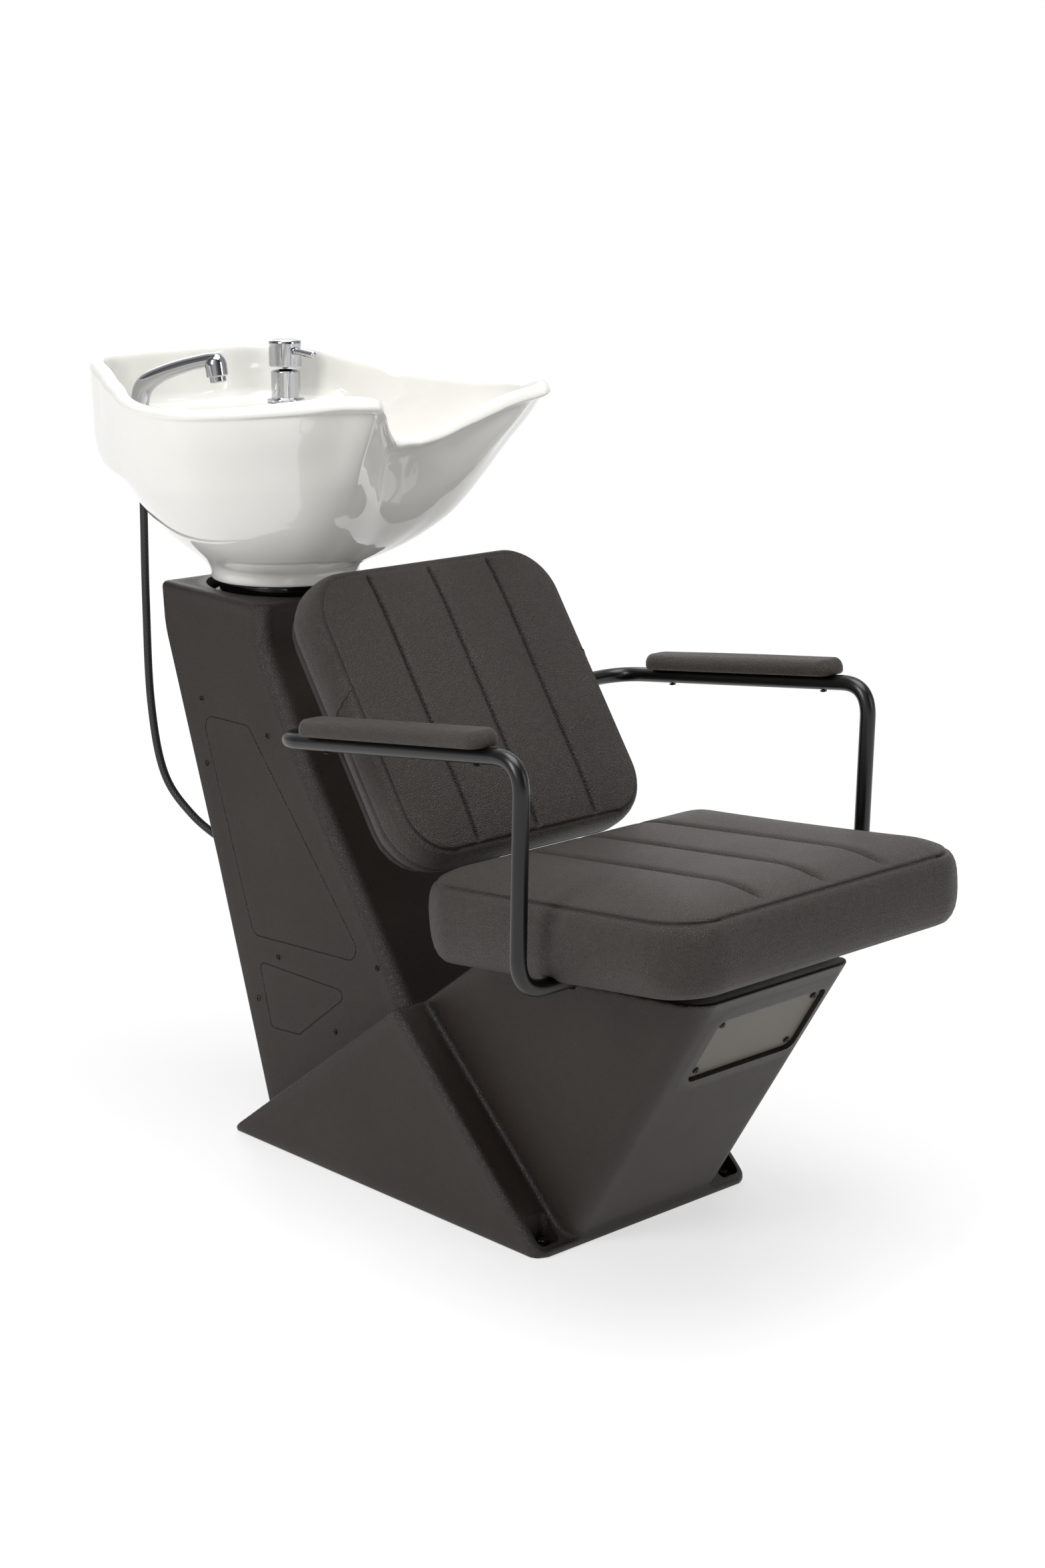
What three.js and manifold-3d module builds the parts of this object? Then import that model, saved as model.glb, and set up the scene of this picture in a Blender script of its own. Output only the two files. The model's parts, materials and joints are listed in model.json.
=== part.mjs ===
// Shampoo backwash unit: seat, arms and backrest on a moulded base, with a tilting ceramic basin.
// Millimetres, +Z up. Origin on the floor at the middle of the foot. The client faces -Y.
import * as THREE from 'three';
import { mergeVertices } from 'three/addons/utils/BufferGeometryUtils.js';
import Module from 'manifold-3d';

const wasm = await Module();
wasm.setup();

// ---------------------------------------------------------------- driving dimensions
const GAP = 0.3;
const WALL = 6;

const FOOT_HALF_WIDTH = 191;
const FOOT_HALF_LENGTH = 310;
const PEDESTAL_HALF_WIDTH = 140;
const INCLINE_SLOPE = 0.735;
const FRONT_LEAN = 0.62;
const FRONT_AT_FLOOR = -300;
const PEDESTAL_TOP_FRONT = 366;
const PEDESTAL_TOP_REAR = 334;
const WEDGE_APEX = [-44, 260];

const COLUMN_HALF_WIDTH = 132;
const COLUMN_TOP = 729;
const OPENING_RADIUS = 108;

const BASIN_Y = 404;
const FOOT_RING_BOTTOM = 740.5;
const FOOT_RING_RADIUS = 102.6;
const BOWL_UNDERSIDE = 766;
const BOWL_FLOOR = 782;
const DRAIN_RADIUS = 24;
const RIM_WIDTH = 22;
const DECK_TOP = 963;
const DECK_FRONT = 98;
const TILT_AXIS_Z = 690;
const LIFT_AXIS_Z = 1028;

const MIXER = [121, 548];
const SHOWER = [-130, 553];
const SHOWER_HEADING = [0.417, -0.909];

const SEAT_TILT = Math.atan(0.11);
const SEAT_FRONT = [-618, 418];
const SEAT_LENGTH = 467;
const SEAT_WIDTH = 518;
const SEAT_THICKNESS = 102;

const BACK_LEAN = THREE.MathUtils.degToRad(34);
const BACK_TOP = [107.5, 799.8];
const BACK_WIDTH = 424;
const BACK_HEIGHT = 408;
const BACK_THICKNESS = 74;
const BACK_RISE = 3;

const ARM_X = 300;
const TUBE_RADIUS = 10;
const BEND_RADIUS = 45;
const ARM_SLOPE = 0.116;
const ARM_FOOT = [-391, 386.5];
const ARM_SCREW_X = 214;
const PAD_CENTRE = [-182, 650.3];
const PAD_SIZE = [46, 328, 22];
const PAD_SCREWS = [-139, 130];
const BOARD_THICKNESS = 18;

// ---------------------------------------------------------------- materials
const MATERIALS = {
  moulding: { color: 0x2b2624, roughness: 0.62, metalness: 0.0 },
  plate: { color: 0x5c5a52, roughness: 0.5, metalness: 0.1 },
  powder: { color: 0x161616, roughness: 0.42, metalness: 0.3 },
  leather: { color: 0x2e2c2d, roughness: 0.5, metalness: 0.0 },
  ceramic: { color: 0xf4f4f2, roughness: 0.08, metalness: 0.0 },
  chrome: { color: 0xd9dcdf, roughness: 0.08, metalness: 1.0 },
  steel: { color: 0x8c8f92, roughness: 0.35, metalness: 0.9 },
  zinc: { color: 0x3a3a3a, roughness: 0.4, metalness: 0.8 },
  gloss: { color: 0x0c0c0d, roughness: 0.12, metalness: 0.0 },
  nylon: { color: 0xc9b48c, roughness: 0.55, metalness: 0.0 },
  braid: { color: 0x141414, roughness: 0.6, metalness: 0.1 },
  board: { color: 0x3b332b, roughness: 0.8, metalness: 0.0 },
  pipe: { color: 0x77797a, roughness: 0.55, metalness: 0.0 },
};

// ---------------------------------------------------------------- helpers
const group = new THREE.Group();
group.name = 'shampoo_backwash_unit';

function toSolid(source) {
  const bare = source.clone();
  bare.deleteAttribute('normal');
  bare.deleteAttribute('uv');
  const merged = mergeVertices(bare, 1e-4);
  const mesh = new wasm.Mesh({
    numProp: 3,
    vertProperties: new Float32Array(merged.attributes.position.array),
    triVerts: new Uint32Array(merged.index.array),
  });
  return new wasm.Manifold(mesh);
}

function toGeometry(body) {
  const mesh = body.getMesh();
  const shape = new THREE.BufferGeometry();
  shape.setAttribute('position', new THREE.BufferAttribute(new Float32Array(mesh.vertProperties), 3));
  shape.setIndex(new THREE.BufferAttribute(new Uint32Array(mesh.triVerts), 1));
  shape.computeVertexNormals();
  return shape;
}

function addPart(name, shape, finish) {
  const geometry = shape.isBufferGeometry ? shape : toGeometry(shape);
  const material = new THREE.MeshStandardMaterial({ ...MATERIALS[finish], name: finish });
  const mesh = new THREE.Mesh(geometry, material);
  mesh.name = name;
  group.add(mesh);
}

function outline(points) {
  return new THREE.Shape(points.map(([a, b]) => new THREE.Vector2(a, b)));
}

function roundedRect(width, height, radius, steps = 5) {
  const points = [];
  const corners = [[1, 1], [-1, 1], [-1, -1], [1, -1]];
  corners.forEach(([sx, sy], quarter) => {
    for (let i = 0; i <= steps; i += 1) {
      const angle = (quarter + i / steps) * Math.PI / 2;
      const cx = sx * (width / 2 - radius);
      const cy = sy * (height / 2 - radius);
      points.push([cx + radius * Math.cos(angle), cy + radius * Math.sin(angle)]);
    }
  });
  return points;
}

// A flat outline given thickness along local Z, its rim rounded by the bevel without growing it.
function slab(points, thickness, bevel = 0, bevelSteps = 2) {
  return new THREE.ExtrudeGeometry(outline(points), {
    depth: thickness - 2 * bevel,
    bevelEnabled: bevel > 0,
    bevelThickness: bevel,
    bevelSize: bevel,
    bevelOffset: -bevel,
    bevelSegments: bevelSteps,
    curveSegments: 8,
    steps: 1,
  }).translate(0, 0, bevel);
}

// A side profile in (y, z) given width along X, centred on x = 0.
function profile(points, halfWidth, bevel = 0, bevelSteps = 2) {
  const shape = slab(points, 2 * halfWidth, bevel, bevelSteps).translate(0, 0, -halfWidth);
  const basis = new THREE.Matrix4().makeBasis(
    new THREE.Vector3(0, 1, 0),
    new THREE.Vector3(0, 0, 1),
    new THREE.Vector3(1, 0, 0),
  );
  return shape.applyMatrix4(basis);
}

function box(x0, x1, y0, y1, z0, z1) {
  return new THREE.BoxGeometry(x1 - x0, y1 - y0, z1 - z0)
    .translate((x0 + x1) / 2, (y0 + y1) / 2, (z0 + z1) / 2);
}

// A turned piece: [radius, height] pairs from the lowest axis point to the highest.
function turned(pairs, segments = 20) {
  const points = pairs.map(([r, z]) => new THREE.Vector2(r, z));
  return toGeometry(toSolid(new THREE.LatheGeometry(points, segments).rotateX(Math.PI / 2)));
}

function rod(radius, length, segments = 16) {
  return turned([[0, 0], [radius, 0], [radius, length], [0, length]], segments);
}

function ring(inner, outer, z0, z1, segments = 32) {
  return turned([[inner, z0], [outer, z0], [outer, z1], [inner, z1], [inner, z0]], segments);
}

function pointAlong(shape, direction) {
  const turn = new THREE.Quaternion().setFromUnitVectors(
    new THREE.Vector3(0, 0, 1),
    new THREE.Vector3(...direction).normalize(),
  );
  return shape.applyQuaternion(turn);
}

// Straight runs joined by bends that start `bend` before each corner.
function bentPath(corners, bend) {
  const points = corners.map((c) => new THREE.Vector3(...c));
  const path = new THREE.CurvePath();
  let from = points[0];
  for (let i = 1; i < points.length - 1; i += 1) {
    const before = points[i].clone().add(points[i - 1].clone().sub(points[i]).setLength(bend));
    const after = points[i].clone().add(points[i + 1].clone().sub(points[i]).setLength(bend));
    path.add(new THREE.LineCurve3(from, before));
    path.add(new THREE.QuadraticBezierCurve3(before, points[i], after));
    from = after;
  }
  path.add(new THREE.LineCurve3(from, points[points.length - 1]));
  return path;
}

function tube(path, radius, steps, sides = 12) {
  const circle = [];
  for (let i = 0; i < sides; i += 1) {
    const angle = (i / sides) * 2 * Math.PI;
    circle.push([radius * Math.cos(angle), radius * Math.sin(angle)]);
  }
  return new THREE.ExtrudeGeometry(outline(circle), { steps, extrudePath: path, bevelEnabled: false });
}

function mirrored(shape) {
  const other = shape.clone().scale(-1, 1, 1);
  const index = other.index ? Array.from(other.index.array) : null;
  if (index) {
    for (let i = 0; i < index.length; i += 3) {
      [index[i + 1], index[i + 2]] = [index[i + 2], index[i + 1]];
    }
    other.setIndex(index);
    return other;
  }
  const p = other.attributes.position.array;
  for (let i = 0; i < p.length; i += 9) {
    for (let k = 0; k < 3; k += 1) {
      [p[i + 3 + k], p[i + 6 + k]] = [p[i + 6 + k], p[i + 3 + k]];
    }
  }
  return other;
}

function inclineZ(y) {
  return (FOOT_HALF_LENGTH - y) * INCLINE_SLOPE;
}

function frontY(z) {
  return FRONT_AT_FLOOR - z * FRONT_LEAN;
}

// ---------------------------------------------------------------- moulded base
function pedestalProfile(inset) {
  const topFront = PEDESTAL_TOP_FRONT - inset;
  const topRear = PEDESTAL_TOP_REAR - inset;
  const rearShift = inset * 1.69;
  const floor = inset > 0 ? -20 : 0;
  return [
    [frontY(floor) + inset * 1.19, floor],
    [FOOT_HALF_LENGTH - rearShift - floor / INCLINE_SLOPE, floor],
    [FOOT_HALF_LENGTH - topRear / INCLINE_SLOPE - rearShift, topRear],
    [frontY(topFront) + inset * 1.19, topFront],
  ];
}

function wedgeProfile(inset) {
  const [apexY, apexZ] = WEDGE_APEX;
  if (inset > 0) {
    return [
      [-225, -20],
      [FOOT_HALF_LENGTH - inset * 1.69 + 27, -20],
      [apexY + 2, apexZ - inset * 1.5],
      [-225, 60],
    ];
  }
  return [
    [-FOOT_HALF_LENGTH, 0],
    [FOOT_HALF_LENGTH, 0],
    [apexY, apexZ],
    [-284, 30],
    [-FOOT_HALF_LENGTH, 9],
  ];
}

const CORNER_BOLTS = [[-163, -287], [163, -287]];
const PLATE_CENTRE = [14, 285.5];
const PLATE_SIZE = [186, 103];
const PLATE_RECESS = 5;

function onFrontFace(shape, depth) {
  const [x, z] = PLATE_CENTRE;
  const lean = Math.atan(FRONT_LEAN);
  const out = new THREE.Vector3(0, -Math.cos(lean), -Math.sin(lean));
  const up = new THREE.Vector3(0, -Math.sin(lean), Math.cos(lean));
  const across = new THREE.Vector3().crossVectors(up, out);
  const frame = new THREE.Matrix4().makeBasis(across, up, out);
  frame.setPosition(x, frontY(z) - out.y * depth, z - out.z * depth);
  return shape.applyMatrix4(frame);
}

function pedestalShell() {
  const body = toSolid(profile(pedestalProfile(0), PEDESTAL_HALF_WIDTH, 26, 3));
  const wedge = toSolid(profile(wedgeProfile(0), FOOT_HALF_WIDTH, 3, 1));
  let shell = body.intersect(toSolid(box(-200, 200, -700, 400, 3, 500))).add(wedge);
  const hollow = toSolid(profile(pedestalProfile(WALL), PEDESTAL_HALF_WIDTH - WALL, 20, 2));
  const wedgeHollow = toSolid(profile(wedgeProfile(WALL), FOOT_HALF_WIDTH - WALL));
  shell = shell.subtract(hollow).subtract(wedgeHollow);
  shell = shell.subtract(toSolid(box(-96, 96, 86, 236, 20, 400)));
  shell = shell.subtract(toSolid(box(-60, 60, -400, -240, 300, 420)));
  const recess = slab(roundedRect(PLATE_SIZE[0] + 2, PLATE_SIZE[1] + 2, 13), 20);
  shell = shell.subtract(toSolid(onFrontFace(recess, PLATE_RECESS + 3)));
  CORNER_BOLTS.forEach(([x, y]) => {
    const pocket = slab([[x - 17, y - 15], [x + 17, y - 15], [x + 17, y + 17], [x - 17, y + 17]], 60);
    shell = shell.subtract(toSolid(pocket.translate(0, 0, 8)));
    shell = shell.subtract(toSolid(rod(5.5, 20).translate(x, y, -5)));
  });
  return shell;
}

const COLUMN_OUTLINE = [
  [24, 270],
  [116, 404],
  [200, 520],
  [290, 677],
  [289, COLUMN_TOP],
  [518, COLUMN_TOP],
  [513, 673],
  [410, 368],
];
const COLUMN_HOLLOW = [
  [33, 270],
  [123, 401],
  [207, 517],
  [297, 674],
  [297, COLUMN_TOP - WALL],
  [511, COLUMN_TOP - WALL],
  [507, 675],
  [404, 370],
];
const SIDE_SCREWS = [[429, 581], [421, 491], [283, 552], [270, 244], [317, 174], [149, 167], [60, 277]];
const HOSE_ENTRIES = [[-79, 356], [84, 440], [108, 440]];
const SIDE_PANELS = [
  { corners: [[428, 560], [325, 560], [84, 277], [324, 265]], radius: 17 },
  { corners: [[312, 229], [115, 229], [226, 144], [288, 139]], radius: 9 },
];
const GROOVE_HALF_WIDTH = 1.2;
const GROOVE_DEPTH = 1.2;

// A convex outline with rounded corners, moved outward by `grow`.
function roundedPanel(corners, radius, grow) {
  const points = [];
  corners.forEach((corner, i) => {
    const here = new THREE.Vector2(...corner);
    const previous = new THREE.Vector2(...corners.at(i - 1)).sub(here).normalize();
    const next = new THREE.Vector2(...corners[(i + 1) % corners.length]).sub(here).normalize();
    const half = Math.acos(previous.dot(next)) / 2;
    const inward = previous.clone().add(next).setLength(radius / Math.sin(half));
    const centre = here.clone().add(inward);
    const tangent = radius / Math.tan(half);
    const from = here.clone().addScaledVector(previous, tangent).sub(centre);
    const to = here.clone().addScaledVector(next, tangent).sub(centre);
    const start = from.angle();
    const sweep = Math.atan2(from.cross(to), from.dot(to));
    for (let k = 0; k <= 4; k += 1) {
      const angle = start + sweep * (k / 4);
      const reach = radius + grow;
      points.push([centre.x + reach * Math.cos(angle), centre.y + reach * Math.sin(angle)]);
    }
  });
  return points;
}

// The shallow decorative lines moulded round the two panels on each side of the column.
function panelGrooves({ corners, radius }) {
  const outer = profile(roundedPanel(corners, radius, GROOVE_HALF_WIDTH), COLUMN_HALF_WIDTH + 5);
  const inner = profile(roundedPanel(corners, radius, -GROOVE_HALF_WIDTH), COLUMN_HALF_WIDTH + 9);
  const reach = COLUMN_HALF_WIDTH - GROOVE_DEPTH;
  return toSolid(outer).subtract(toSolid(inner)).subtract(toSolid(box(-reach, reach, 0, 600, 0, 800)));
}

function columnShell() {
  const foot = [[297, inclineZ(297) + GAP], [-2, inclineZ(-2) + GAP]];
  const footHollow = [[290, inclineZ(290) - 20], [6, inclineZ(6) - 20]];
  let shell = toSolid(profile([...COLUMN_OUTLINE, ...foot], COLUMN_HALF_WIDTH, 11, 2));
  const hollow = profile([...COLUMN_HOLLOW, ...footHollow], COLUMN_HALF_WIDTH - WALL);
  shell = shell.subtract(toSolid(hollow));
  shell = shell.subtract(toSolid(rod(OPENING_RADIUS, 40, 36).translate(0, BASIN_Y, 705)));
  SIDE_PANELS.forEach((panel) => {
    shell = shell.subtract(panelGrooves(panel));
  });
  HOSE_ENTRIES.forEach(([x, z]) => {
    const bore = rod(8, 60).rotateX(-Math.PI / 2);
    shell = shell.subtract(toSolid(bore.translate(x, 380 + (z - 352) * 0.34, z)));
  });
  [-1, 1].forEach((side) => SIDE_SCREWS.forEach(([y, z]) => {
    const bore = rod(2.5, 30, 10).rotateY(Math.PI / 2);
    shell = shell.subtract(toSolid(bore.translate(side * COLUMN_HALF_WIDTH - 15, y, z)));
  }));
  return shell;
}

function baseFrame() {
  const parts = [
    box(-110, 110, -230, 106, 0, 6),
    profile([[52, 5], [106, 5], [372, 651], [318, 651]], 30),
    profile([[-150, 5], [-80, 5], [-286, 378], [-366, 378]], 30),
    box(-88, 88, 318, 480, 650, 658),
  ];
  const plate = box(-105, 105, 113, 433, -6, -GAP);
  let frame = toSolid(placeOnSeat(plate));
  parts.forEach((shape) => {
    frame = frame.add(toSolid(shape));
  });
  [-1, 1].forEach((side) => {
    const lug = box(55, 64, BASIN_Y - 12, BASIN_Y + 12, 657, TILT_AXIS_Z + 11);
    frame = frame.add(toSolid(side < 0 ? mirrored(lug) : lug));
  });
  const pinBore = rod(6, 200).rotateY(Math.PI / 2).translate(-100, BASIN_Y, TILT_AXIS_Z);
  frame = frame.subtract(toSolid(pinBore));
  return frame.subtract(toSolid(rod(29, 40, 24).translate(0, BASIN_Y, 640)));
}

function screw(headRadius, headHeight, shankRadius, shankLength) {
  return turned([
    [0, -shankLength],
    [shankRadius, -shankLength],
    [shankRadius, 0],
    [headRadius, 0],
    [headRadius * 0.9, headHeight],
    [0, headHeight],
  ], 8);
}

function buildBase() {
  addPart('pedestal_shell', pedestalShell(), 'moulding');
  addPart('column_shell', columnShell(), 'moulding');
  addPart('base_frame', baseFrame(), 'steel');
  const plate = slab(roundedRect(PLATE_SIZE[0], PLATE_SIZE[1], 12), 2.5);
  let cover = toSolid(onFrontFace(plate, PLATE_RECESS + 2.7));
  const corners = [[-1, -1], [1, -1], [1, 1], [-1, 1]];
  corners.forEach(([sx, sy], i) => {
    const x = sx * (PLATE_SIZE[0] / 2 - 12);
    const y = sy * (PLATE_SIZE[1] / 2 - 12);
    cover = cover.subtract(toSolid(onFrontFace(rod(2, 12).translate(x, y, -4), PLATE_RECESS + 2.7)));
    const fixing = screw(4.5, 2, 1.7, 2.4).translate(x, y, 2.8);
    addPart(`cover_plate_screw_${i + 1}`, onFrontFace(fixing, PLATE_RECESS + 2.7), 'zinc');
  });
  addPart('cover_plate', cover, 'plate');
  CORNER_BOLTS.forEach(([x, y], i) => {
    const name = i === 0 ? 'floor_bolt_right' : 'floor_bolt_left';
    addPart(name, screw(10, 7, 5, 8.3).translate(x, y, 8.3), 'zinc');
  });
  [['right', -1], ['left', 1]].forEach(([label, side]) => SIDE_SCREWS.forEach(([y, z], i) => {
    const fixing = screw(4, 1.2, 2.2, 5).rotateY(side * Math.PI / 2);
    fixing.translate(side * (COLUMN_HALF_WIDTH + GAP), y, z);
    addPart(`column_screw_${label}_${i + 1}`, fixing, 'zinc');
  }));
}

// ---------------------------------------------------------------- seat, backrest and arms
function placeOnSeat(shape) {
  return shape.rotateX(-SEAT_TILT).translate(0, SEAT_FRONT[0], SEAT_FRONT[1]);
}

// The seat's plywood base lies flush in the underside of the cushion.
function seatBoardPlan(grow) {
  const plan = roundedRect(SEAT_WIDTH - 48 + grow, SEAT_LENGTH - 48 + grow, 44);
  return plan.map(([x, y]) => [x, y + SEAT_LENGTH / 2]);
}

function armSlots() {
  const slot = rod(TUBE_RADIUS + 2, 2 * 300).rotateY(Math.PI / 2);
  const gap = box(-185, 185, ARM_FOOT[0] - 30, ARM_FOOT[0] + 30, 340, 420);
  return toSolid(slot.translate(-300, ...ARM_FOOT)).subtract(toSolid(gap));
}

function seatCushion() {
  const plan = roundedRect(SEAT_WIDTH, SEAT_LENGTH, 70).map(([x, y]) => [x, y + SEAT_LENGTH / 2]);
  let cushion = toSolid(slab(plan, SEAT_THICKNESS, 18, 3));
  [-106, 0, 106].forEach((x) => {
    const channel = box(x - 2.5, x + 2.5, -20, SEAT_LENGTH + 20, SEAT_THICKNESS - 5, 140);
    cushion = cushion.subtract(toSolid(channel));
  });
  const well = slab(seatBoardPlan(1), 40).translate(0, 0, BOARD_THICKNESS - 40 + GAP);
  cushion = cushion.subtract(toSolid(well));
  return toSolid(placeOnSeat(toGeometry(cushion))).subtract(armSlots());
}

function seatBoard() {
  const board = toSolid(placeOnSeat(slab(seatBoardPlan(0), BOARD_THICKNESS))).subtract(armSlots());
  const bore = rod(2.6, 24, 10).translate(-ARM_SCREW_X, ARM_FOOT[0], ARM_FOOT[1]);
  return board.subtract(toSolid(bore)).subtract(toSolid(mirrored(bore)));
}

function placeOnBack(shape) {
  return shape.rotateX(Math.PI / 2 - BACK_LEAN).translate(0, BACK_TOP[0], BACK_TOP[1]);
}

const ARM_ENTRY = [43, 613];
const BACK_SCREW = [190, -191];

function backScrewBore(side, radius) {
  const [x, drop] = BACK_SCREW;
  return toSolid(placeOnBack(rod(radius, 60, 10).translate(side * x, drop, -112)));
}

function backCushion() {
  const plan = roundedRect(BACK_WIDTH, BACK_HEIGHT, 74).map(([x, y]) => [x, y - BACK_HEIGHT / 2 + BACK_RISE]);
  let cushion = toSolid(slab(plan, BACK_THICKNESS, 18, 3).translate(0, 0, 8 - BACK_THICKNESS));
  [-103, 0, 103].forEach((x) => {
    const channel = box(x - 2.5, x + 2.5, -BACK_HEIGHT, 30, 3, 20);
    cushion = cushion.subtract(toSolid(channel));
  });
  cushion = toSolid(placeOnBack(toGeometry(cushion)));
  [-1, 1].forEach((side) => {
    const sleeve = rod(TUBE_RADIUS + 1, 90).rotateY(side * Math.PI / 2);
    cushion = cushion.subtract(toSolid(sleeve.translate(side * 170, ...ARM_ENTRY)));
    cushion = cushion.subtract(backScrewBore(side, 3.5));
  });
  return cushion;
}

function backBoard() {
  const plan = roundedRect(BACK_WIDTH - 24, BACK_HEIGHT - 24, 62);
  const centred = plan.map(([x, y]) => [x, y - BACK_HEIGHT / 2 + BACK_RISE]);
  const board = placeOnBack(slab(centred, 11, 3, 1).translate(0, 0, 8 - BACK_THICKNESS - 11 - GAP));
  return toSolid(board).subtract(backScrewBore(-1, 3.5)).subtract(backScrewBore(1, 3.5));
}

function armTube() {
  const frontZ = 664.6;
  const rearZ = frontZ - (ARM_ENTRY[0] + 399) * ARM_SLOPE;
  const path = bentPath([
    [-176, ...ARM_ENTRY],
    [-ARM_X, ARM_ENTRY[0], rearZ],
    [-ARM_X, -399, frontZ],
    [-ARM_X, ...ARM_FOOT],
    [-190, ...ARM_FOOT],
  ], BEND_RADIUS);
  let arm = toSolid(tube(path, TUBE_RADIUS, 34, 10));
  PAD_SCREWS.forEach((y) => {
    arm = arm.subtract(toSolid(placeOnPad(rod(2.6, 40, 10).translate(0, y, -36))));
  });
  const seatBore = rod(2.6, 40, 10).translate(-ARM_SCREW_X, ARM_FOOT[0], ARM_FOOT[1] - 20);
  return arm.subtract(toSolid(seatBore)).subtract(backScrewBore(-1, 2.8));
}

function placeOnPad(shape) {
  return shape.rotateX(-Math.atan(ARM_SLOPE)).translate(-ARM_X, ...PAD_CENTRE);
}

function armPad() {
  const [width, length, thickness] = PAD_SIZE;
  let pad = toSolid(slab(roundedRect(width, length, 20, 4), thickness, 8, 2));
  PAD_SCREWS.forEach((y) => {
    pad = pad.subtract(toSolid(rod(2.6, 14, 10).translate(0, y, -2)));
  });
  return placeOnPad(toGeometry(pad));
}

function buildSeating() {
  addPart('seat_cushion', seatCushion(), 'leather');
  addPart('seat_board', seatBoard(), 'board');
  addPart('backrest_cushion', backCushion(), 'leather');
  addPart('backrest_board', backBoard(), 'board');
  const tubeShape = toGeometry(armTube());
  const padShape = armPad();
  const padScrews = PAD_SCREWS.map((y) => (
    placeOnPad(screw(4.5, 2.2, 2.2, 30).rotateX(Math.PI).translate(0, y, -21.4))));
  const seatScrew = screw(4.5, 2.2, 2.2, 24).rotateX(Math.PI);
  seatScrew.translate(-ARM_SCREW_X, ARM_FOOT[0], ARM_FOOT[1] - TUBE_RADIUS - GAP);
  const backScrew = screw(5.5, 2.5, 2.2, 22).rotateX(Math.PI);
  placeOnBack(backScrew.translate(-BACK_SCREW[0], BACK_SCREW[1], 8 - BACK_THICKNESS - 11 - 2 * GAP));
  const sides = [['right', (shape) => shape.clone()], ['left', mirrored]];
  sides.forEach(([label, place]) => {
    addPart(`arm_tube_${label}`, place(tubeShape), 'powder');
    addPart(`arm_pad_${label}`, place(padShape), 'leather');
    addPart(`arm_pad_screw_${label}_front`, place(padScrews[0]), 'zinc');
    addPart(`arm_pad_screw_${label}_rear`, place(padScrews[1]), 'zinc');
    addPart(`arm_seat_screw_${label}`, place(seatScrew), 'zinc');
    addPart(`backrest_screw_${label}`, place(backScrew), 'zinc');
  });
}

// ---------------------------------------------------------------- basin
const RIM = [
  [0, 268, 955],
  [8, 293, 963],
  [16, 352, 993],
  [21, 404, 1015],
  [26, 398, 1018],
  [32, 382, 1014],
  [40, 366, 1009],
  [50, 352, 1004],
  [61, 334, 1001],
  [72, 300, 1000],
  [82, 280, 1002],
  [92, 262, 1006],
  [105, 247, 1013],
  [120, 246, 1021],
  [132, 258, 1028],
  [144, 270, 1033],
  [162, 246, 1037],
  [180, 234, 1038],
];
const WALL_LEVELS = [0.03, 0.09, 0.17, 0.28, 0.4, 0.49, 0.53, 0.66, 0.84];
const FRONT_WALL = [0.07, 0.21, 0.345, 0.49, 0.59, 0.655, 0.685, 0.775, 0.92];
const REAR_WALL = [0.07, 0.21, 0.4, 0.58, 0.72, 0.83, 0.95, 0.985, 1.0];
const INNER_LEVELS = [0.84, 0.7, 0.56, 0.42, 0.28, 0.17, 0.08];
const COLUMNS = [0, 5, 10, 14, 18, 21, 24, 28, 34, 42, 52, 62, 72, 84, 96, 108, 120, 132, 144, 156, 168];

function blend(table, x) {
  const last = table.length - 1;
  let i = 0;
  while (i < last - 1 && x > table[i + 1][0]) {
    i += 1;
  }
  const t = THREE.MathUtils.clamp((x - table[i][0]) / (table[i + 1][0] - table[i][0]), 0, 1);
  return table[i].map((value, k) => value + (table[i + 1][k] - value) * t);
}

function wallFraction(level, angle) {
  const rear = THREE.MathUtils.smoothstep(angle, 35, 115);
  const front = blend(WALL_LEVELS.map((v, i) => [v, FRONT_WALL[i]]).concat([[1, 1]]), level)[1];
  const back = blend(WALL_LEVELS.map((v, i) => [v, REAR_WALL[i]]).concat([[1, 1]]), level)[1];
  return front + (back - front) * rear;
}

// The closed section of the basin at one direction: [radius, height] pairs.
function basinSection(angle) {
  const [, radius, top] = blend(RIM, angle);
  const section = [
    [DRAIN_RADIUS, BOWL_UNDERSIDE],
    [86, BOWL_UNDERSIDE],
    [88, FOOT_RING_BOTTOM],
    [FOOT_RING_RADIUS, FOOT_RING_BOTTOM],
    [FOOT_RING_RADIUS + 1, 752],
    [FOOT_RING_RADIUS + 4, 762],
  ];
  WALL_LEVELS.forEach((level) => {
    const r = 105 + (radius - 105) * wallFraction(level, angle);
    section.push([r, 762 + (top - 762) * level]);
  });
  const roll = [[0, -10], [3, -3], [RIM_WIDTH / 2, 0], [RIM_WIDTH - 3, -3], [RIM_WIDTH, -10]];
  roll.forEach(([inward, drop]) => section.push([radius - inward, top + drop]));
  const lip = radius - RIM_WIDTH;
  const spread = Math.cos(THREE.MathUtils.degToRad(180 - angle));
  const deckEdge = Math.min(DECK_FRONT / Math.max(spread, 0.2), lip - 22);
  const deck = [
    [lip - 2, DECK_TOP + 12],
    [lip - 8, DECK_TOP],
    [deckEdge + 9, DECK_TOP],
    [deckEdge, DECK_TOP - 8],
    [deckEdge - 6, 915],
    [deckEdge - 14, 850],
    [deckEdge - 24, 800],
  ];
  const deckness = THREE.MathUtils.smoothstep(angle, 108, 126);
  INNER_LEVELS.forEach((level, i) => {
    const r = 66 + (lip - 66) * wallFraction(level, angle);
    const z = BOWL_FLOOR + (top - 10 - BOWL_FLOOR) * level;
    section.push([r + (deck[i][0] - r) * deckness, z + (deck[i][1] - z) * deckness]);
  });
  section.push([58, BOWL_FLOOR + 3]);
  section.push([DRAIN_RADIUS, BOWL_FLOOR]);
  return section;
}

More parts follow.
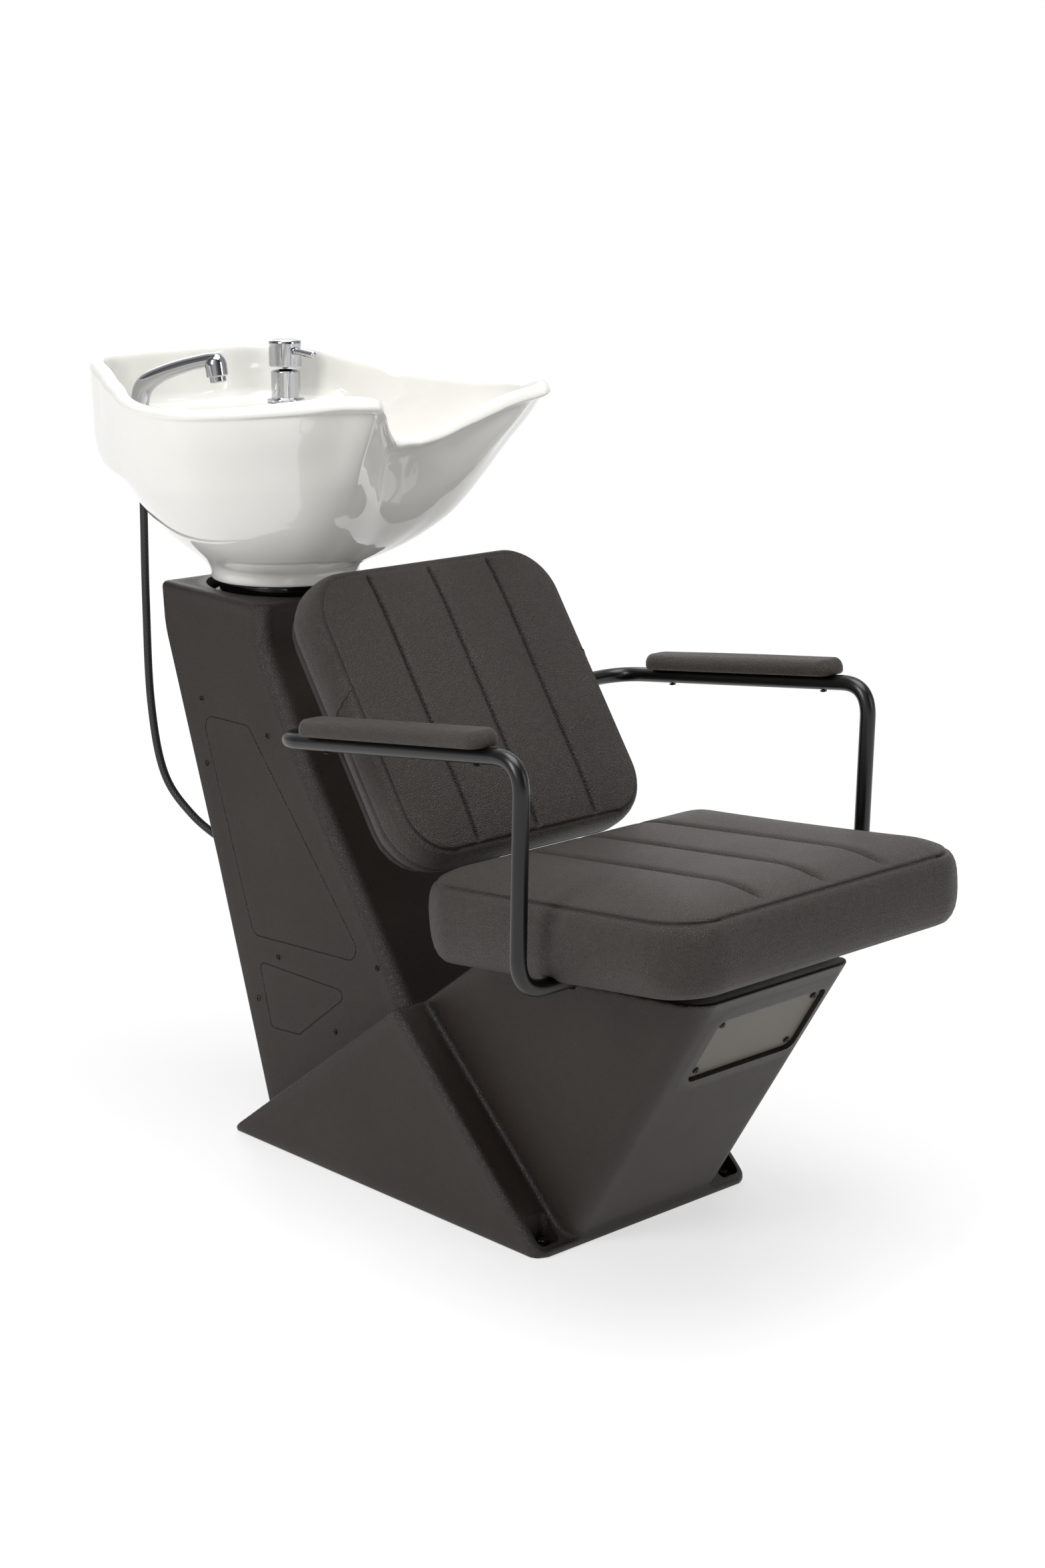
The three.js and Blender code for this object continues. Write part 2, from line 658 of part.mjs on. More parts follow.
function basinShell() {
  const angles = [...COLUMNS, 180, ...COLUMNS.slice(1).reverse().map((a) => -a)];
  const rows = angles.map((angle) => {
    const turn = THREE.MathUtils.degToRad(angle);
    return basinSection(Math.abs(angle)).map(([r, z]) => [
      r * Math.sin(turn),
      BASIN_Y - r * Math.cos(turn),
      z,
    ]);
  });
  const count = rows[0].length;
  const index = [];
  rows.forEach((row, i) => {
    const next = (i + 1) % rows.length;
    for (let j = 0; j < count; j += 1) {
      const k = (j + 1) % count;
      index.push(i * count + j, next * count + j, next * count + k);
      index.push(i * count + j, next * count + k, i * count + k);
    }
  });
  const shape = new THREE.BufferGeometry();
  shape.setAttribute('position', new THREE.Float32BufferAttribute(rows.flat(2), 3));
  shape.setIndex(index);
  return shape;
}

function basinBowl() {
  let bowl = toSolid(basinShell());
  const pocket = roundedRect(270, 70, 20, 3).map(([x, y]) => [x + 26, y + 548]);
  bowl = bowl.subtract(toSolid(slab(pocket, 180).translate(0, 0, DECK_TOP - 14 - 180)));
  bowl = bowl.subtract(toSolid(rod(17, 60).translate(...MIXER, DECK_TOP - 40)));
  return bowl.subtract(toSolid(rod(15, 260).translate(...SHOWER, 760)));
}

// ---------------------------------------------------------------- tilt mount, waste and taps
function tiltCradle() {
  let cradle = toSolid(ring(24, 88, 704, 711.7).translate(0, BASIN_Y, 0));
  [-1, 1].forEach((side) => {
    const web = box(65, 80, BASIN_Y - 10, BASIN_Y + 10, TILT_AXIS_Z, 705);
    const barrel = rod(10, 15, 20).rotateY(Math.PI / 2).translate(65, BASIN_Y, TILT_AXIS_Z);
    const ear = toSolid(web).add(toSolid(barrel));
    cradle = cradle.add(side > 0 ? ear : toSolid(mirrored(toGeometry(ear))));
  });
  const bore = rod(6.3, 200).rotateY(Math.PI / 2).translate(-100, BASIN_Y, TILT_AXIS_Z);
  return cradle.subtract(toSolid(bore));
}

function wasteHose() {
  const route = new THREE.CatmullRomCurve3([
    [0, BASIN_Y, 660],
    [0, BASIN_Y, 625],
    [45, 362, 560],
    [66, 300, 440],
    [66, 205, 240],
    [66, 178, 110],
    [66, 175, 8],
  ].map((p) => new THREE.Vector3(...p)));
  const cup = toSolid(rod(25, 40, 20).translate(0, BASIN_Y, 647));
  return toSolid(tube(route, 17, 14, 10)).add(cup).subtract(toSolid(rod(20.5, 40, 20).translate(0, BASIN_Y, 664)));
}

function buildMount() {
  const collar = ring(64, 91, 712, FOOT_RING_BOTTOM - GAP, 32);
  addPart('basin_collar', collar.translate(0, BASIN_Y, 0), 'gloss');
  addPart('bearing_ring', ring(92, 99, 717, 722, 32).translate(0, BASIN_Y, 0), 'nylon');
  addPart('tilt_cradle', tiltCradle(), 'steel');
  const pin = rod(5.7, 34).rotateY(Math.PI / 2).translate(50, BASIN_Y, TILT_AXIS_Z);
  addPart('tilt_pin_left', pin, 'steel');
  addPart('tilt_pin_right', mirrored(pin), 'steel');
  const waste = turned([
    [0, 668], [16, 668], [16, 783.3], [30, 783.3], [31, 785], [24, 787], [0, 785.5],
  ]);
  addPart('waste_fitting', waste.translate(0, BASIN_Y, 0), 'chrome');
  addPart('waste_hose', wasteHose(), 'pipe');
}

function supplyHose(topX, entryX) {
  const route = new THREE.CatmullRomCurve3([
    [topX, 548, 924],
    [topX, 552, 860],
    [(topX + entryX) / 2, 562, 700],
    [entryX, 556, 560],
    [entryX, 510, 470],
    [entryX, 450, 444],
    [entryX, 405, 439],
  ].map((p) => new THREE.Vector3(...p)));
  return tube(route, 5.5, 14, 7);
}

function buildMixer() {
  const [x, y] = MIXER;
  const body = turned([
    [0, 926], [15, 926], [15, 963.3], [27, 963.3], [27, 968], [20.8, 969.5],
    [20.8, 1007.5], [19, 1008.6], [10, 1010.5], [0, 1011.3],
  ]);
  addPart('mixer_body', body.translate(x, y, 0), 'chrome');
  addPart('mixer_nut', ring(15.5, 24, 940.5, 948.6, 20).translate(x, y, 0), 'steel');
  const ball = Array.from({ length: 7 }, (_, i) => {
    const angle = -0.9 + (i / 6) * (0.9 + Math.PI / 2);
    return [7 * Math.cos(angle), LIFT_AXIS_Z + 7 * Math.sin(angle)];
  });
  const stem = turned([[0, 1011.6], [4.35, 1011.6], ...ball.slice(0, 6), [0, LIFT_AXIS_Z + 7]], 20);
  addPart('mixer_cartridge', stem.translate(x, y, 0), 'steel');
  const head = turned([
    [10, 1014], [23.3, 1014], [23.3, 1050.5], [21.8, 1052], [0, 1052],
    [0, 1038.5], [10, 1038.5], [10, 1014],
  ]);
  addPart('mixer_head', head.translate(x, y, 0), 'chrome');
  const lever = pointAlong(rod(5, 44), [0, -1, -0.09]);
  addPart('mixer_lever', lever.translate(x, y - 24.2, 1037), 'chrome');
  addPart('hot_supply_hose', supplyHose(x - 6.6, 84), 'braid');
  addPart('cold_supply_hose', supplyHose(x + 6.6, 108), 'braid');
}

function buildShower() {
  const [x, y] = SHOWER;
  const [hx, hy] = SHOWER_HEADING;
  const holder = turned([
    [12.3, 905], [14.3, 905], [14.3, 963.3], [19, 963.3], [19, 972], [17, 974], [12.3, 974], [12.3, 905],
  ]);
  addPart('shower_holder', holder.translate(x, y, 0), 'chrome');
  const at = (reach, z) => [x + hx * reach, y + hy * reach, z];
  const handle = toSolid(tube(bentPath([at(0, 940), at(0, 1004), at(120, 1037)], 26), 11.6, 14));
  const headAxis = [hx * 0.3, hy * 0.3, -1];
  const head = pointAlong(rod(15, 28, 20), headAxis).translate(...at(118, 1046));
  const bore = pointAlong(rod(12, 20, 20), headAxis).translate(...at(125, 1022.5));
  addPart('hand_shower', handle.add(toSolid(head)).subtract(toSolid(bore)), 'chrome');
  const nozzle = pointAlong(rod(11.6, 15, 20), headAxis).translate(...at(125.1, 1022.1));
  addPart('shower_nozzle', nozzle, 'chrome');
  const route = new THREE.CatmullRomCurve3([
    [x, y, 939.5],
    [x - 1, y - 1, 850],
    [-133, 551, 700],
    [-134, 546, 560],
    [-131, 524, 460],
    [-115, 484, 404],
    [-90, 440, 367],
    [-79, 405, 356],
    [-78, 384, 353],
  ].map((p) => new THREE.Vector3(...p)));
  addPart('shower_hose', tube(route, 5.6, 22, 7), 'braid');
}

buildBase();
buildSeating();
addPart('basin_bowl', basinBowl(), 'ceramic');
buildMount();
buildMixer();
buildShower();

export default group;
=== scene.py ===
import json
import math

import bmesh
import bpy
import numpy as np
from mathutils import Matrix, Quaternion, Vector
from mathutils.kdtree import KDTree

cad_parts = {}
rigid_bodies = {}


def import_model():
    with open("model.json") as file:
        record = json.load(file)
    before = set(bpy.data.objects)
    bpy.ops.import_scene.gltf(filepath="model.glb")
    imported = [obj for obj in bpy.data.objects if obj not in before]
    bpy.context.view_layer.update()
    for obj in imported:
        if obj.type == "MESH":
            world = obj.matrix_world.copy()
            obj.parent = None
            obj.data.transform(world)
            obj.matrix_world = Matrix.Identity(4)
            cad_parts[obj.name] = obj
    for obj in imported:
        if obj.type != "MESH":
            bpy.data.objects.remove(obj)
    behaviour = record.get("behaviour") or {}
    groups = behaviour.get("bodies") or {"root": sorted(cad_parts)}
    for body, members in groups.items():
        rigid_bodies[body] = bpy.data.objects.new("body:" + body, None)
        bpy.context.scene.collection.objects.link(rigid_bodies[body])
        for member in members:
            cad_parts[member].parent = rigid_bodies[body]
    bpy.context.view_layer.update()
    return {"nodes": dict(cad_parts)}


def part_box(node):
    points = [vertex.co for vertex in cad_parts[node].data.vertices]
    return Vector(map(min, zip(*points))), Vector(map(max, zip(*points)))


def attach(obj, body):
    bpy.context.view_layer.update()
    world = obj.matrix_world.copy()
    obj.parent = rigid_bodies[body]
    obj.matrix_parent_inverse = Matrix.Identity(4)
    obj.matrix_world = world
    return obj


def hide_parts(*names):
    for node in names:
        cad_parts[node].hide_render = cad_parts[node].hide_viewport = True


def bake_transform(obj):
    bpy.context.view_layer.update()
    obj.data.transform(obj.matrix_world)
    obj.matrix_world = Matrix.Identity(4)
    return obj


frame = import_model()
MM = 0.001

# ---------------------------------------------------------------- dimensions shared with the CAD part
SEAT = {"tilt": -math.atan(0.11), "origin": (0, -0.618, 0.418), "size": (0.518, 0.467)}
BACK = {"tilt": math.radians(56), "origin": (0, 0.1075, 0.7998), "size": (0.424, 0.408)}
PAD_SLOPE = 0.116
PAD = {"tilt": -math.atan(PAD_SLOPE), "origin": (-0.300, -0.182, 0.6503), "size": (0.046, 0.328)}
PLATE = {"centre": (0.014, 0.2855), "size": (0.186, 0.103)}
ARM_ENTRY = (0.043, 0.613)
ARM_FOOT = (-0.391, 0.3865)
BASIN_Y = 0.404
MIXER = (0.121, 0.548)
SHOWER = (-0.130, 0.553)
SHOWER_HEADING = Vector((0.417, -0.909, 0))
SEAT_CHANNELS = (-0.106, 0.0, 0.106)
BACK_CHANNELS = (-0.103, 0.0, 0.103)
UP = Vector((0, 0, 1))


def placement(spec):
    return Matrix.Translation(spec["origin"]) @ Matrix.Rotation(spec["tilt"], 4, "X")


# ---------------------------------------------------------------- node material helpers
class Nodes:
    """A node tree being built, a new material's unless one is given. Calls return output sockets."""

    def __init__(self, name=None, tree=None):
        if tree is None:
            self.material = bpy.data.materials.new(name)
            self.material.use_nodes = True
            tree = self.material.node_tree
            self.shader = tree.nodes["Principled BSDF"]
        self.tree = tree
        self.places = tree.nodes.new("ShaderNodeTexCoord").outputs
        self.coords = self.places["Object"]

    def add(self, kind, inputs=None, **settings):
        node = self.tree.nodes.new(kind)
        for key, value in settings.items():
            setattr(node, key, value)
        for key, value in (inputs or {}).items():
            self.feed(node.inputs[key], value)
        return node

    def feed(self, socket, value):
        if isinstance(value, bpy.types.NodeSocket):
            self.tree.links.new(value, socket)
        else:
            socket.default_value = value

    def scaled(self, factors):
        return self.add("ShaderNodeMapping", {"Vector": self.coords, "Scale": factors}).outputs[0]

    def noise(self, scale, detail=4.0, rough=0.55, vector=None, distortion=0.0):
        inputs = {"Vector": vector or self.coords, "Scale": scale, "Detail": detail}
        inputs |= {"Roughness": rough, "Distortion": distortion}
        return self.add("ShaderNodeTexNoise", inputs).outputs["Fac"]

    def cells(self, scale, vector, feature="DISTANCE_TO_EDGE"):
        inputs = {"Vector": vector, "Scale": scale, "Randomness": 1.0}
        return self.add("ShaderNodeTexVoronoi", inputs, feature=feature).outputs["Distance"]

    def vectors(self, operation, inputs, output=0):
        return self.add("ShaderNodeVectorMath", inputs, operation=operation).outputs[output]

    def warped(self, scale, amount):
        noise = {"Vector": self.coords, "Scale": scale, "Detail": 2.0}
        push = self.add("ShaderNodeTexNoise", noise).outputs["Color"]
        centred = self.vectors("SUBTRACT", {0: push, 1: (0.5, 0.5, 0.5)})
        return self.vectors("ADD", {0: self.coords, 1: self.vectors("SCALE", {0: centred, "Scale": amount})})

    def span(self, value, low, high, to_low=0.0, to_high=1.0):
        inputs = {"Value": value, "From Min": low, "From Max": high, "To Min": to_low, "To Max": to_high}
        return self.add("ShaderNodeMapRange", inputs).outputs[0]

    def math(self, operation, a, b=0.0):
        return self.add("ShaderNodeMath", {0: a, 1: b}, operation=operation).outputs[0]

    def times(self, a, b):
        return self.math("MULTIPLY", a, b)

    def plus(self, a, b):
        return self.math("ADD", a, b)

    def mix(self, factor, a, b):
        node = self.add("ShaderNodeMix", data_type="RGBA")
        for place, value in ((0, factor), (6, a), (7, b)):
            self.feed(node.inputs[place], value)
        return node.outputs[2]

    def edges(self, radius):
        """0 on flat faces, rising to 1 where the surface turns within the radius."""
        soft = self.add("ShaderNodeBevel", {"Radius": radius}, samples=4).outputs[0]
        flat = self.add("ShaderNodeNewGeometry").outputs["Normal"]
        same = self.vectors("DOT_PRODUCT", {0: soft, 1: flat}, "Value")
        return self.span(same, 1.0, 0.93)

    def bump(self, height, distance, strength=1.0, normal=None):
        inputs = {"Height": height, "Distance": distance, "Strength": strength}
        if normal is not None:
            inputs["Normal"] = normal
        return self.add("ShaderNodeBump", inputs).outputs[0]

    def finish(self, **inputs):
        for key, value in inputs.items():
            self.feed(self.shader.inputs[key.replace("_", " ")], value)
        return self.material


def colour(red, green, blue, tone=1.0):
    """Linear colour from 0-255 display values."""
    return tuple((c * tone / 255) ** 2.2 for c in (red, green, blue)) + (1.0,)


# ---------------------------------------------------------------- materials
def leather(name, tone, grain=1.0):
    """Pebbled leatherette; a higher tone is lighter and a smaller grain is finer."""
    m = Nodes(name)
    warped = m.warped(70.0, 0.0030)
    pebble = m.span(m.cells(370.0 / grain, warped), 0.0, 0.30)
    fine = m.span(m.cells(1050.0 / grain, warped), 0.0, 0.35)
    depth = m.plus(m.times(pebble, 0.72), m.times(fine, 0.28))
    strong = m.times(depth, m.span(m.noise(26.0, detail=3.0), 0.3, 0.7, 0.7, 1.0))
    normal = m.bump(strong, 0.00095, 1.0)
    normal = m.bump(m.noise(42.0, detail=2.0), 0.0018, 0.28, normal)
    worn = m.noise(7.0, detail=5.0, rough=0.6)
    base = m.mix(m.span(worn, 0.3, 0.75), colour(39, 32, 26, tone), colour(46, 38.5, 32, tone))
    mottle = m.span(m.noise(210.0, detail=3.0, rough=0.7), 0.42, 0.62, 0.0, 0.12)
    base = m.mix(mottle, base, colour(66, 57, 49, tone))
    base = m.mix(m.span(strong, 0.0, 0.45, 0.15, 1.0), colour(11, 9, 8), base)
    rough = m.plus(m.span(strong, 0.0, 1.0, 0.56, 0.34), m.span(worn, 0.3, 0.8, 0.04, -0.04))
    sheen = {"Sheen_Weight": 0.03, "Sheen_Roughness": 0.4}
    return m.finish(Base_Color=base, Roughness=rough, Normal=normal, Specular_IOR_Level=0.5, **sheen)


def thread():
    m = Nodes("thread")
    strand = m.noise(2600.0, detail=2.0)
    base = m.mix(strand, colour(6, 5, 5), colour(17, 16, 15))
    return m.finish(Base_Color=base, Roughness=0.7, Normal=m.bump(strand, 0.0002, 0.6), Sheen_Weight=0.2)


def moulded_plastic():
    m = Nodes("moulded_plastic_look")
    edge = m.edges(0.026)
    sand = m.noise(640.0, detail=4.0, rough=0.75)
    skin = m.span(m.cells(470.0, m.warped(90.0, 0.003)), 0.0, 0.34)
    wide = m.noise(4.5, detail=6.0, rough=0.6)
    height = m.plus(m.times(sand, 0.6), m.times(skin, 0.6))
    normal = m.bump(height, 0.00065, m.span(edge, 0.0, 1.0, 0.45, 1.0))
    normal = m.bump(m.noise(9.0, detail=2.0), 0.004, 0.12, normal)
    base = m.mix(m.span(wide, 0.3, 0.7), colour(27, 19.5, 14), colour(36, 27.5, 21))
    base = m.mix(m.span(sand, 0.38, 0.66, 0.0, 0.55), base, colour(50, 40, 31))
    base = m.mix(m.span(skin, 0.0, 0.5, 0.35, 0.0), base, colour(15, 12, 10))
    scuffs = m.noise(95.0, detail=8.0, rough=0.75, vector=m.scaled((1.0, 0.25, 0.6)))
    base = m.mix(m.times(m.span(scuffs, 0.64, 0.8), 0.35), base, colour(70, 62, 56))
    base = m.mix(m.times(edge, 0.6), base, colour(18, 16, 16))
    rough = m.math("SUBTRACT", m.span(wide, 0.3, 0.7, 0.6, 0.54), m.times(edge, 0.27))
    return m.finish(Base_Color=base, Roughness=rough, Normal=normal, Specular_IOR_Level=0.45)


def plate_film():
    m = Nodes("cover_plate_look")
    mottled = m.noise(160.0, detail=6.0, rough=0.7)
    base = m.mix(m.span(mottled, 0.35, 0.65), colour(70, 67, 59), colour(82, 78, 68))
    base = m.mix(m.times(m.noise(14.0, detail=3.0), 0.3), base, colour(92, 88, 76))
    normal = m.bump(m.noise(1100.0, detail=2.0), 0.00015, 0.4)
    return m.finish(Base_Color=base, Roughness=m.span(mottled, 0.3, 0.7, 0.4, 0.52), Normal=normal)


def powder_coat():
    m = Nodes("powder_coat_look")
    handled = m.noise(12.0, detail=5.0)
    base = m.mix(m.span(handled, 0.4, 0.7), colour(7, 6, 5), colour(12, 10, 9))
    rough = m.span(handled, 0.3, 0.75, 0.34, 0.25)
    normal = m.bump(m.noise(750.0, detail=2.0), 0.00018, 0.35)
    return m.finish(Base_Color=base, Roughness=rough, Normal=normal, Specular_IOR_Level=0.5)


def ceramic():
    m = Nodes("glazed_ceramic_look")
    speck = m.span(m.noise(420.0, detail=1.0), 0.76, 0.8)
    warm = m.noise(5.0, detail=3.0)
    base = m.mix(m.span(warm, 0.3, 0.7), colour(217, 216, 211), colour(222, 221, 216))
    base = m.mix(m.times(speck, 0.25), base, colour(206, 203, 196))
    normal = m.bump(m.noise(11.0, detail=1.5), 0.0011, 0.35)
    rough = m.span(m.noise(60.0, detail=3.0), 0.3, 0.7, 0.035, 0.07)
    glaze = {"Coat_Weight": 0.35, "Coat_Roughness": 0.02, "Specular_IOR_Level": 0.55}
    return m.finish(Base_Color=base, Roughness=rough, Normal=normal, **glaze)


def chrome():
    m = Nodes("chrome_look")
    smear = m.noise(90.0, detail=6.0, rough=0.7, distortion=1.2)
    spots = m.span(m.cells(240.0, m.warped(50.0, 0.01), "F1"), 0.10, 0.05)
    rough = m.plus(m.span(smear, 0.4, 0.75, 0.025, 0.09), m.times(spots, 0.05))
    normal = m.bump(m.noise(35.0), 0.0002, 0.15)
    return m.finish(Base_Color=colour(188, 189, 193), Metallic=1.0, Roughness=rough, Normal=normal)


def steel():
    m = Nodes("mill_steel_look")
    streak = m.noise(300.0, detail=4.0, vector=m.scaled((1.0, 1.0, 0.06)))
    rust = m.span(m.noise(30.0, detail=7.0, rough=0.7), 0.62, 0.75)
    base = m.mix(streak, colour(104, 106, 108), colour(134, 135, 136))
    base = m.mix(m.times(rust, 0.35), base, colour(104, 82, 66))
    rough, normal = m.span(streak, 0.3, 0.7, 0.3, 0.45), m.bump(streak, 0.0001, 0.4)
    return m.finish(Base_Color=base, Metallic=0.85, Roughness=rough, Normal=normal)


def dark_zinc():
    m = Nodes("dark_screw_look")
    worn = m.span(m.noise(500.0, detail=5.0), 0.55, 0.7)
    base = m.mix(worn, colour(30, 29, 29), colour(92, 90, 88))
    rough, normal = m.span(worn, 0.0, 1.0, 0.38, 0.26), m.bump(m.noise(1800.0), 0.0001, 0.4)
    return m.finish(Base_Color=base, Metallic=0.8, Roughness=rough, Normal=normal)


def gloss_black():
    m = Nodes("gloss_black_look")
    scratch = m.span(m.noise(700.0, detail=5.0, vector=m.scaled((0.15, 0.15, 1.0))), 0.6, 0.75)
    rough, normal = m.span(scratch, 0.0, 1.0, 0.1, 0.22), m.bump(scratch, 0.00008, 0.3)
    return m.finish(Base_Color=colour(16, 16, 17), Roughness=rough, Coat_Weight=0.3, Normal=normal)


def nylon():
    m = Nodes("nylon_look")
    base = m.mix(m.noise(70.0, detail=5.0), colour(176, 172, 164), colour(204, 201, 194))
    glow = {"Subsurface_Weight": 0.15, "Subsurface_Scale": 0.003}
    return m.finish(Base_Color=base, Roughness=0.5, Normal=m.bump(m.noise(400.0), 0.0001, 0.3), **glow)


def painted_board():
    m = Nodes("board_look")
    grain = m.noise(40.0, detail=7.0, rough=0.65, vector=m.scaled((8.0, 1.0, 1.0)))
    base = m.mix(m.span(grain, 0.35, 0.65), colour(26, 25, 24), colour(40, 37, 35))
    height = m.plus(m.times(grain, 0.6), m.times(m.noise(1400.0, detail=2.0), 0.4))
    return m.finish(Base_Color=base, Roughness=0.72, Normal=m.bump(height, 0.0003, 0.5))


def waste_plastic():
    m = Nodes("waste_pipe_look")
    base = m.mix(m.noise(45.0, detail=5.0), colour(112, 114, 116), colour(138, 139, 140))
    return m.finish(Base_Color=base, Roughness=0.5, Normal=m.bump(m.noise(600.0), 0.00015, 0.4))


def braid():
    """Woven sleeve, drawn on the hose's own U (round) and V (along) coordinates."""
    m = Nodes("braided_hose_look")
    uv = m.add("ShaderNodeUVMap", uv_map="weave").outputs[0]
    parts = m.add("ShaderNodeSeparateXYZ", {0: uv}).outputs
    lines = []
    for way in (1.0, -1.0):
        phase = m.plus(m.times(parts[0], 8.0), m.times(parts[1], 170.0 * way))
        lines.append(m.math("ABSOLUTE", m.math("SINE", m.times(phase, math.pi))))
    weave = m.math("MAXIMUM", *lines)
    base = m.mix(weave, colour(10, 10, 10), colour(34, 34, 35))
    rough = m.span(weave, 0.5, 1.0, 0.65, 0.42)
    return m.finish(Base_Color=base, Roughness=rough, Normal=m.bump(weave, 0.0006, 0.7))


# Near-black look for the walls of small holes cut in the chrome parts: painted shade for the dark inside of
# the holes. The floor takes it until its own material replaces it.
def painted_hole_shade():
    m = Nodes("painted_hole_shade_look")
    rough, normal = m.span(m.noise(600.0), 0.3, 0.7, 0.5, 0.65), m.bump(m.noise(900.0), 0.0002, 0.4)
    return m.finish(Base_Color=colour(9, 9, 9), Roughness=rough, Normal=normal)


LOOK = {
    "upholstery": leather("leatherette", 1.08),
    # The arm pads use the seat's leatherette with a finer grain, toned lighter: painted light for the light
    # the pads catch from the left.
    "pad_leather_painted_lighter": leather("leatherette_painted_lighter_for_pads", 1.2, 0.8),
    "thread": thread(),
    "moulded_plastic": moulded_plastic(),
    "cover_plate": plate_film(),
    "powder_coat": powder_coat(),
    "basin_ceramic": ceramic(),
    "chrome": chrome(),
    "frame_steel": steel(),
    "dark_screw": dark_zinc(),
    "gloss_black": gloss_black(),
    "nylon": nylon(),
    "board": painted_board(),
    "waste_pipe": waste_plastic(),
    "braided_hose": braid(),
    "recess": painted_hole_shade(),
}


# ---------------------------------------------------------------- mesh helpers
def piece(name, verts, faces, look):
    mesh = bpy.data.meshes.new(name)
    mesh.from_pydata([tuple(v) for v in verts], [], [tuple(f) for f in faces])
    mesh.validate()
    mesh.materials.append(LOOK[look])
    mesh.polygons.foreach_set("use_smooth", [True] * len(mesh.polygons))
    obj = bpy.data.objects.new(name, mesh)
    bpy.context.scene.collection.objects.link(obj)
    return obj


def ring_faces(rings, count, closed=False, start=0):
    """Quads between neighbouring rings of count points; closed joins the last ring to the first."""
    faces = []
    for i in range(rings if closed else rings - 1):
        a, b = start + i * count, start + (i + 1) % rings * count
        faces += [[a + k, a + (k + 1) % count, b + (k + 1) % count, b + k] for k in range(count)]
    return faces


def end_faces(rings, count, start=0):
    last = start + (rings - 1) * count
    return [list(range(start, start + count))[::-1], list(range(last, last + count))]


def extruded(name, low, high, look="moulded_plastic"):
    """A solid between two matching outlines."""
    obj = piece(name, low + high, ring_faces(2, len(low)) + end_faces(2, len(low)), look)
    turn_out(obj)
    return obj


def prism(name, outline, half_width):
    """A side profile in (y, z) given width along X."""
    return extruded(name, *([(side * half_width, y, z) for y, z in outline] for side in (-1, 1)))


def flat_slab(name, outline, low, high, look="moulded_plastic"):
    return extruded(name, *([(x, y, z) for x, y in outline] for z in (low, high)), look)


def baked(obj):
    """Applies the modifiers of obj to its own mesh."""
    depsgraph = bpy.context.evaluated_depsgraph_get()
    mesh = bpy.data.meshes.new_from_object(obj.evaluated_get(depsgraph), depsgraph=depsgraph)
    obj.modifiers.clear()
    obj.data = mesh
    return obj


def crisp(obj, angle=34):
    """Smooth faces, with edges sharper than the angle kept sharp."""
    obj.data.polygons.foreach_set("use_smooth", [True] * len(obj.data.polygons))
    obj.data.set_sharp_from_angle(angle=math.radians(angle))
    obj.modifiers.new("weighted", "WEIGHTED_NORMAL").keep_sharp = True
    return baked(obj)


def drop(*objects):
    for obj in objects:
        bpy.data.objects.remove(obj)


def combine(obj, operation, *others):
    for other in others:
        boolean = obj.modifiers.new("boolean", "BOOLEAN")
        boolean.operation, boolean.solver, boolean.object = operation, "EXACT", other
        baked(obj)
    drop(*others)
    return obj


def cut(obj, *cutters):
    return combine(obj, "DIFFERENCE", *cutters)


def dress(obj, body, slot, *nodes):
    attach(obj, body)
    if nodes:
        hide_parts(*nodes)
    return obj


def turn_out(obj):
    bm = bmesh.new()
    bm.from_mesh(obj.data)
    bmesh.ops.recalc_face_normals(bm, faces=bm.faces)
    bm.to_mesh(obj.data)
    bm.free()


def bevel_edges(obj, chosen, width, segments):
    bm = bmesh.new()
    bm.from_mesh(obj.data)
    edges = [e for e in bm.edges if chosen(e.verts[0].co, e.verts[1].co)]
    shape = {"segments": segments, "profile": 0.5, "affect": "EDGES", "clamp_overlap": True}
    bmesh.ops.bevel(bm, geom=edges, offset=width, **shape)
    bm.to_mesh(obj.data)
    bm.free()


def corner_curve(start, middle, end, steps):
    """Points on the curve from start to end that leaves and arrives heading through middle."""
    shares = [k / steps for k in range(steps + 1)]
    return [start * (1 - t) ** 2 + middle * 2 * t * (1 - t) + end * t * t for t in shares]


def fillet(points, radius, steps=4, closed=False):
    """Each corner of a polyline replaced by a short curve; a third number on a point is its own radius."""
    count, out = len(points), []
    for i, point in enumerate(points):
        here = Vector(point[:2])
        size = point[2] if len(point) > 2 else radius
        if not closed and i in (0, count - 1) or size <= 0:
            out.append(tuple(here))
            continue
        before, after = Vector(points[i - 1][:2]) - here, Vector(points[(i + 1) % count][:2]) - here
        reach_in, reach_out = (min(size, 0.48 * v.length) for v in (before, after))
        start, end = here + before.normalized() * reach_in, here + after.normalized() * reach_out
        out += [tuple(p) for p in corner_curve(start, here, end, steps)]
    return out


def turned(name, pairs, look="moulded_plastic", segments=48, closed=False, spot=(0, 0, 0), axis=UP):
    """A turned piece from (radius, height) pairs, its axis through spot."""
    verts, rings = [], []
    for radius, height in pairs:
        if radius < 1e-7:
            rings.append([len(verts)])
            verts.append((0, 0, height))
            continue
        rings.append(list(range(len(verts), len(verts) + segments)))
        for k in range(segments):
            angle = 2 * math.pi * k / segments
            verts.append((radius * math.cos(angle), radius * math.sin(angle), height))
    faces = []
    for low, high in zip(rings, rings[1:] + rings[:1] if closed else rings[1:]):
        for k in range(segments):
            n = (k + 1) % segments
            quad = [low[k % len(low)], low[n % len(low)], high[n % len(high)], high[k % len(high)]]
            face = list(dict.fromkeys(quad))
            if len(face) > 2:
                faces.append(face)
    turn = UP.rotation_difference(Vector(axis).normalized()).to_matrix()
    obj = piece(name, [turn @ Vector(v) + Vector(spot) for v in verts], faces, look)
    turn_out(obj)
    return obj


def bore(radius, low, high, look, segments, spot, axis=UP):
    """A plain drilled hole, as a shape to cut with."""
    profile = [(0, low), (radius, low), (radius, high), (0, high)]
    return turned("hole", profile, look, segments, spot=spot, axis=axis)


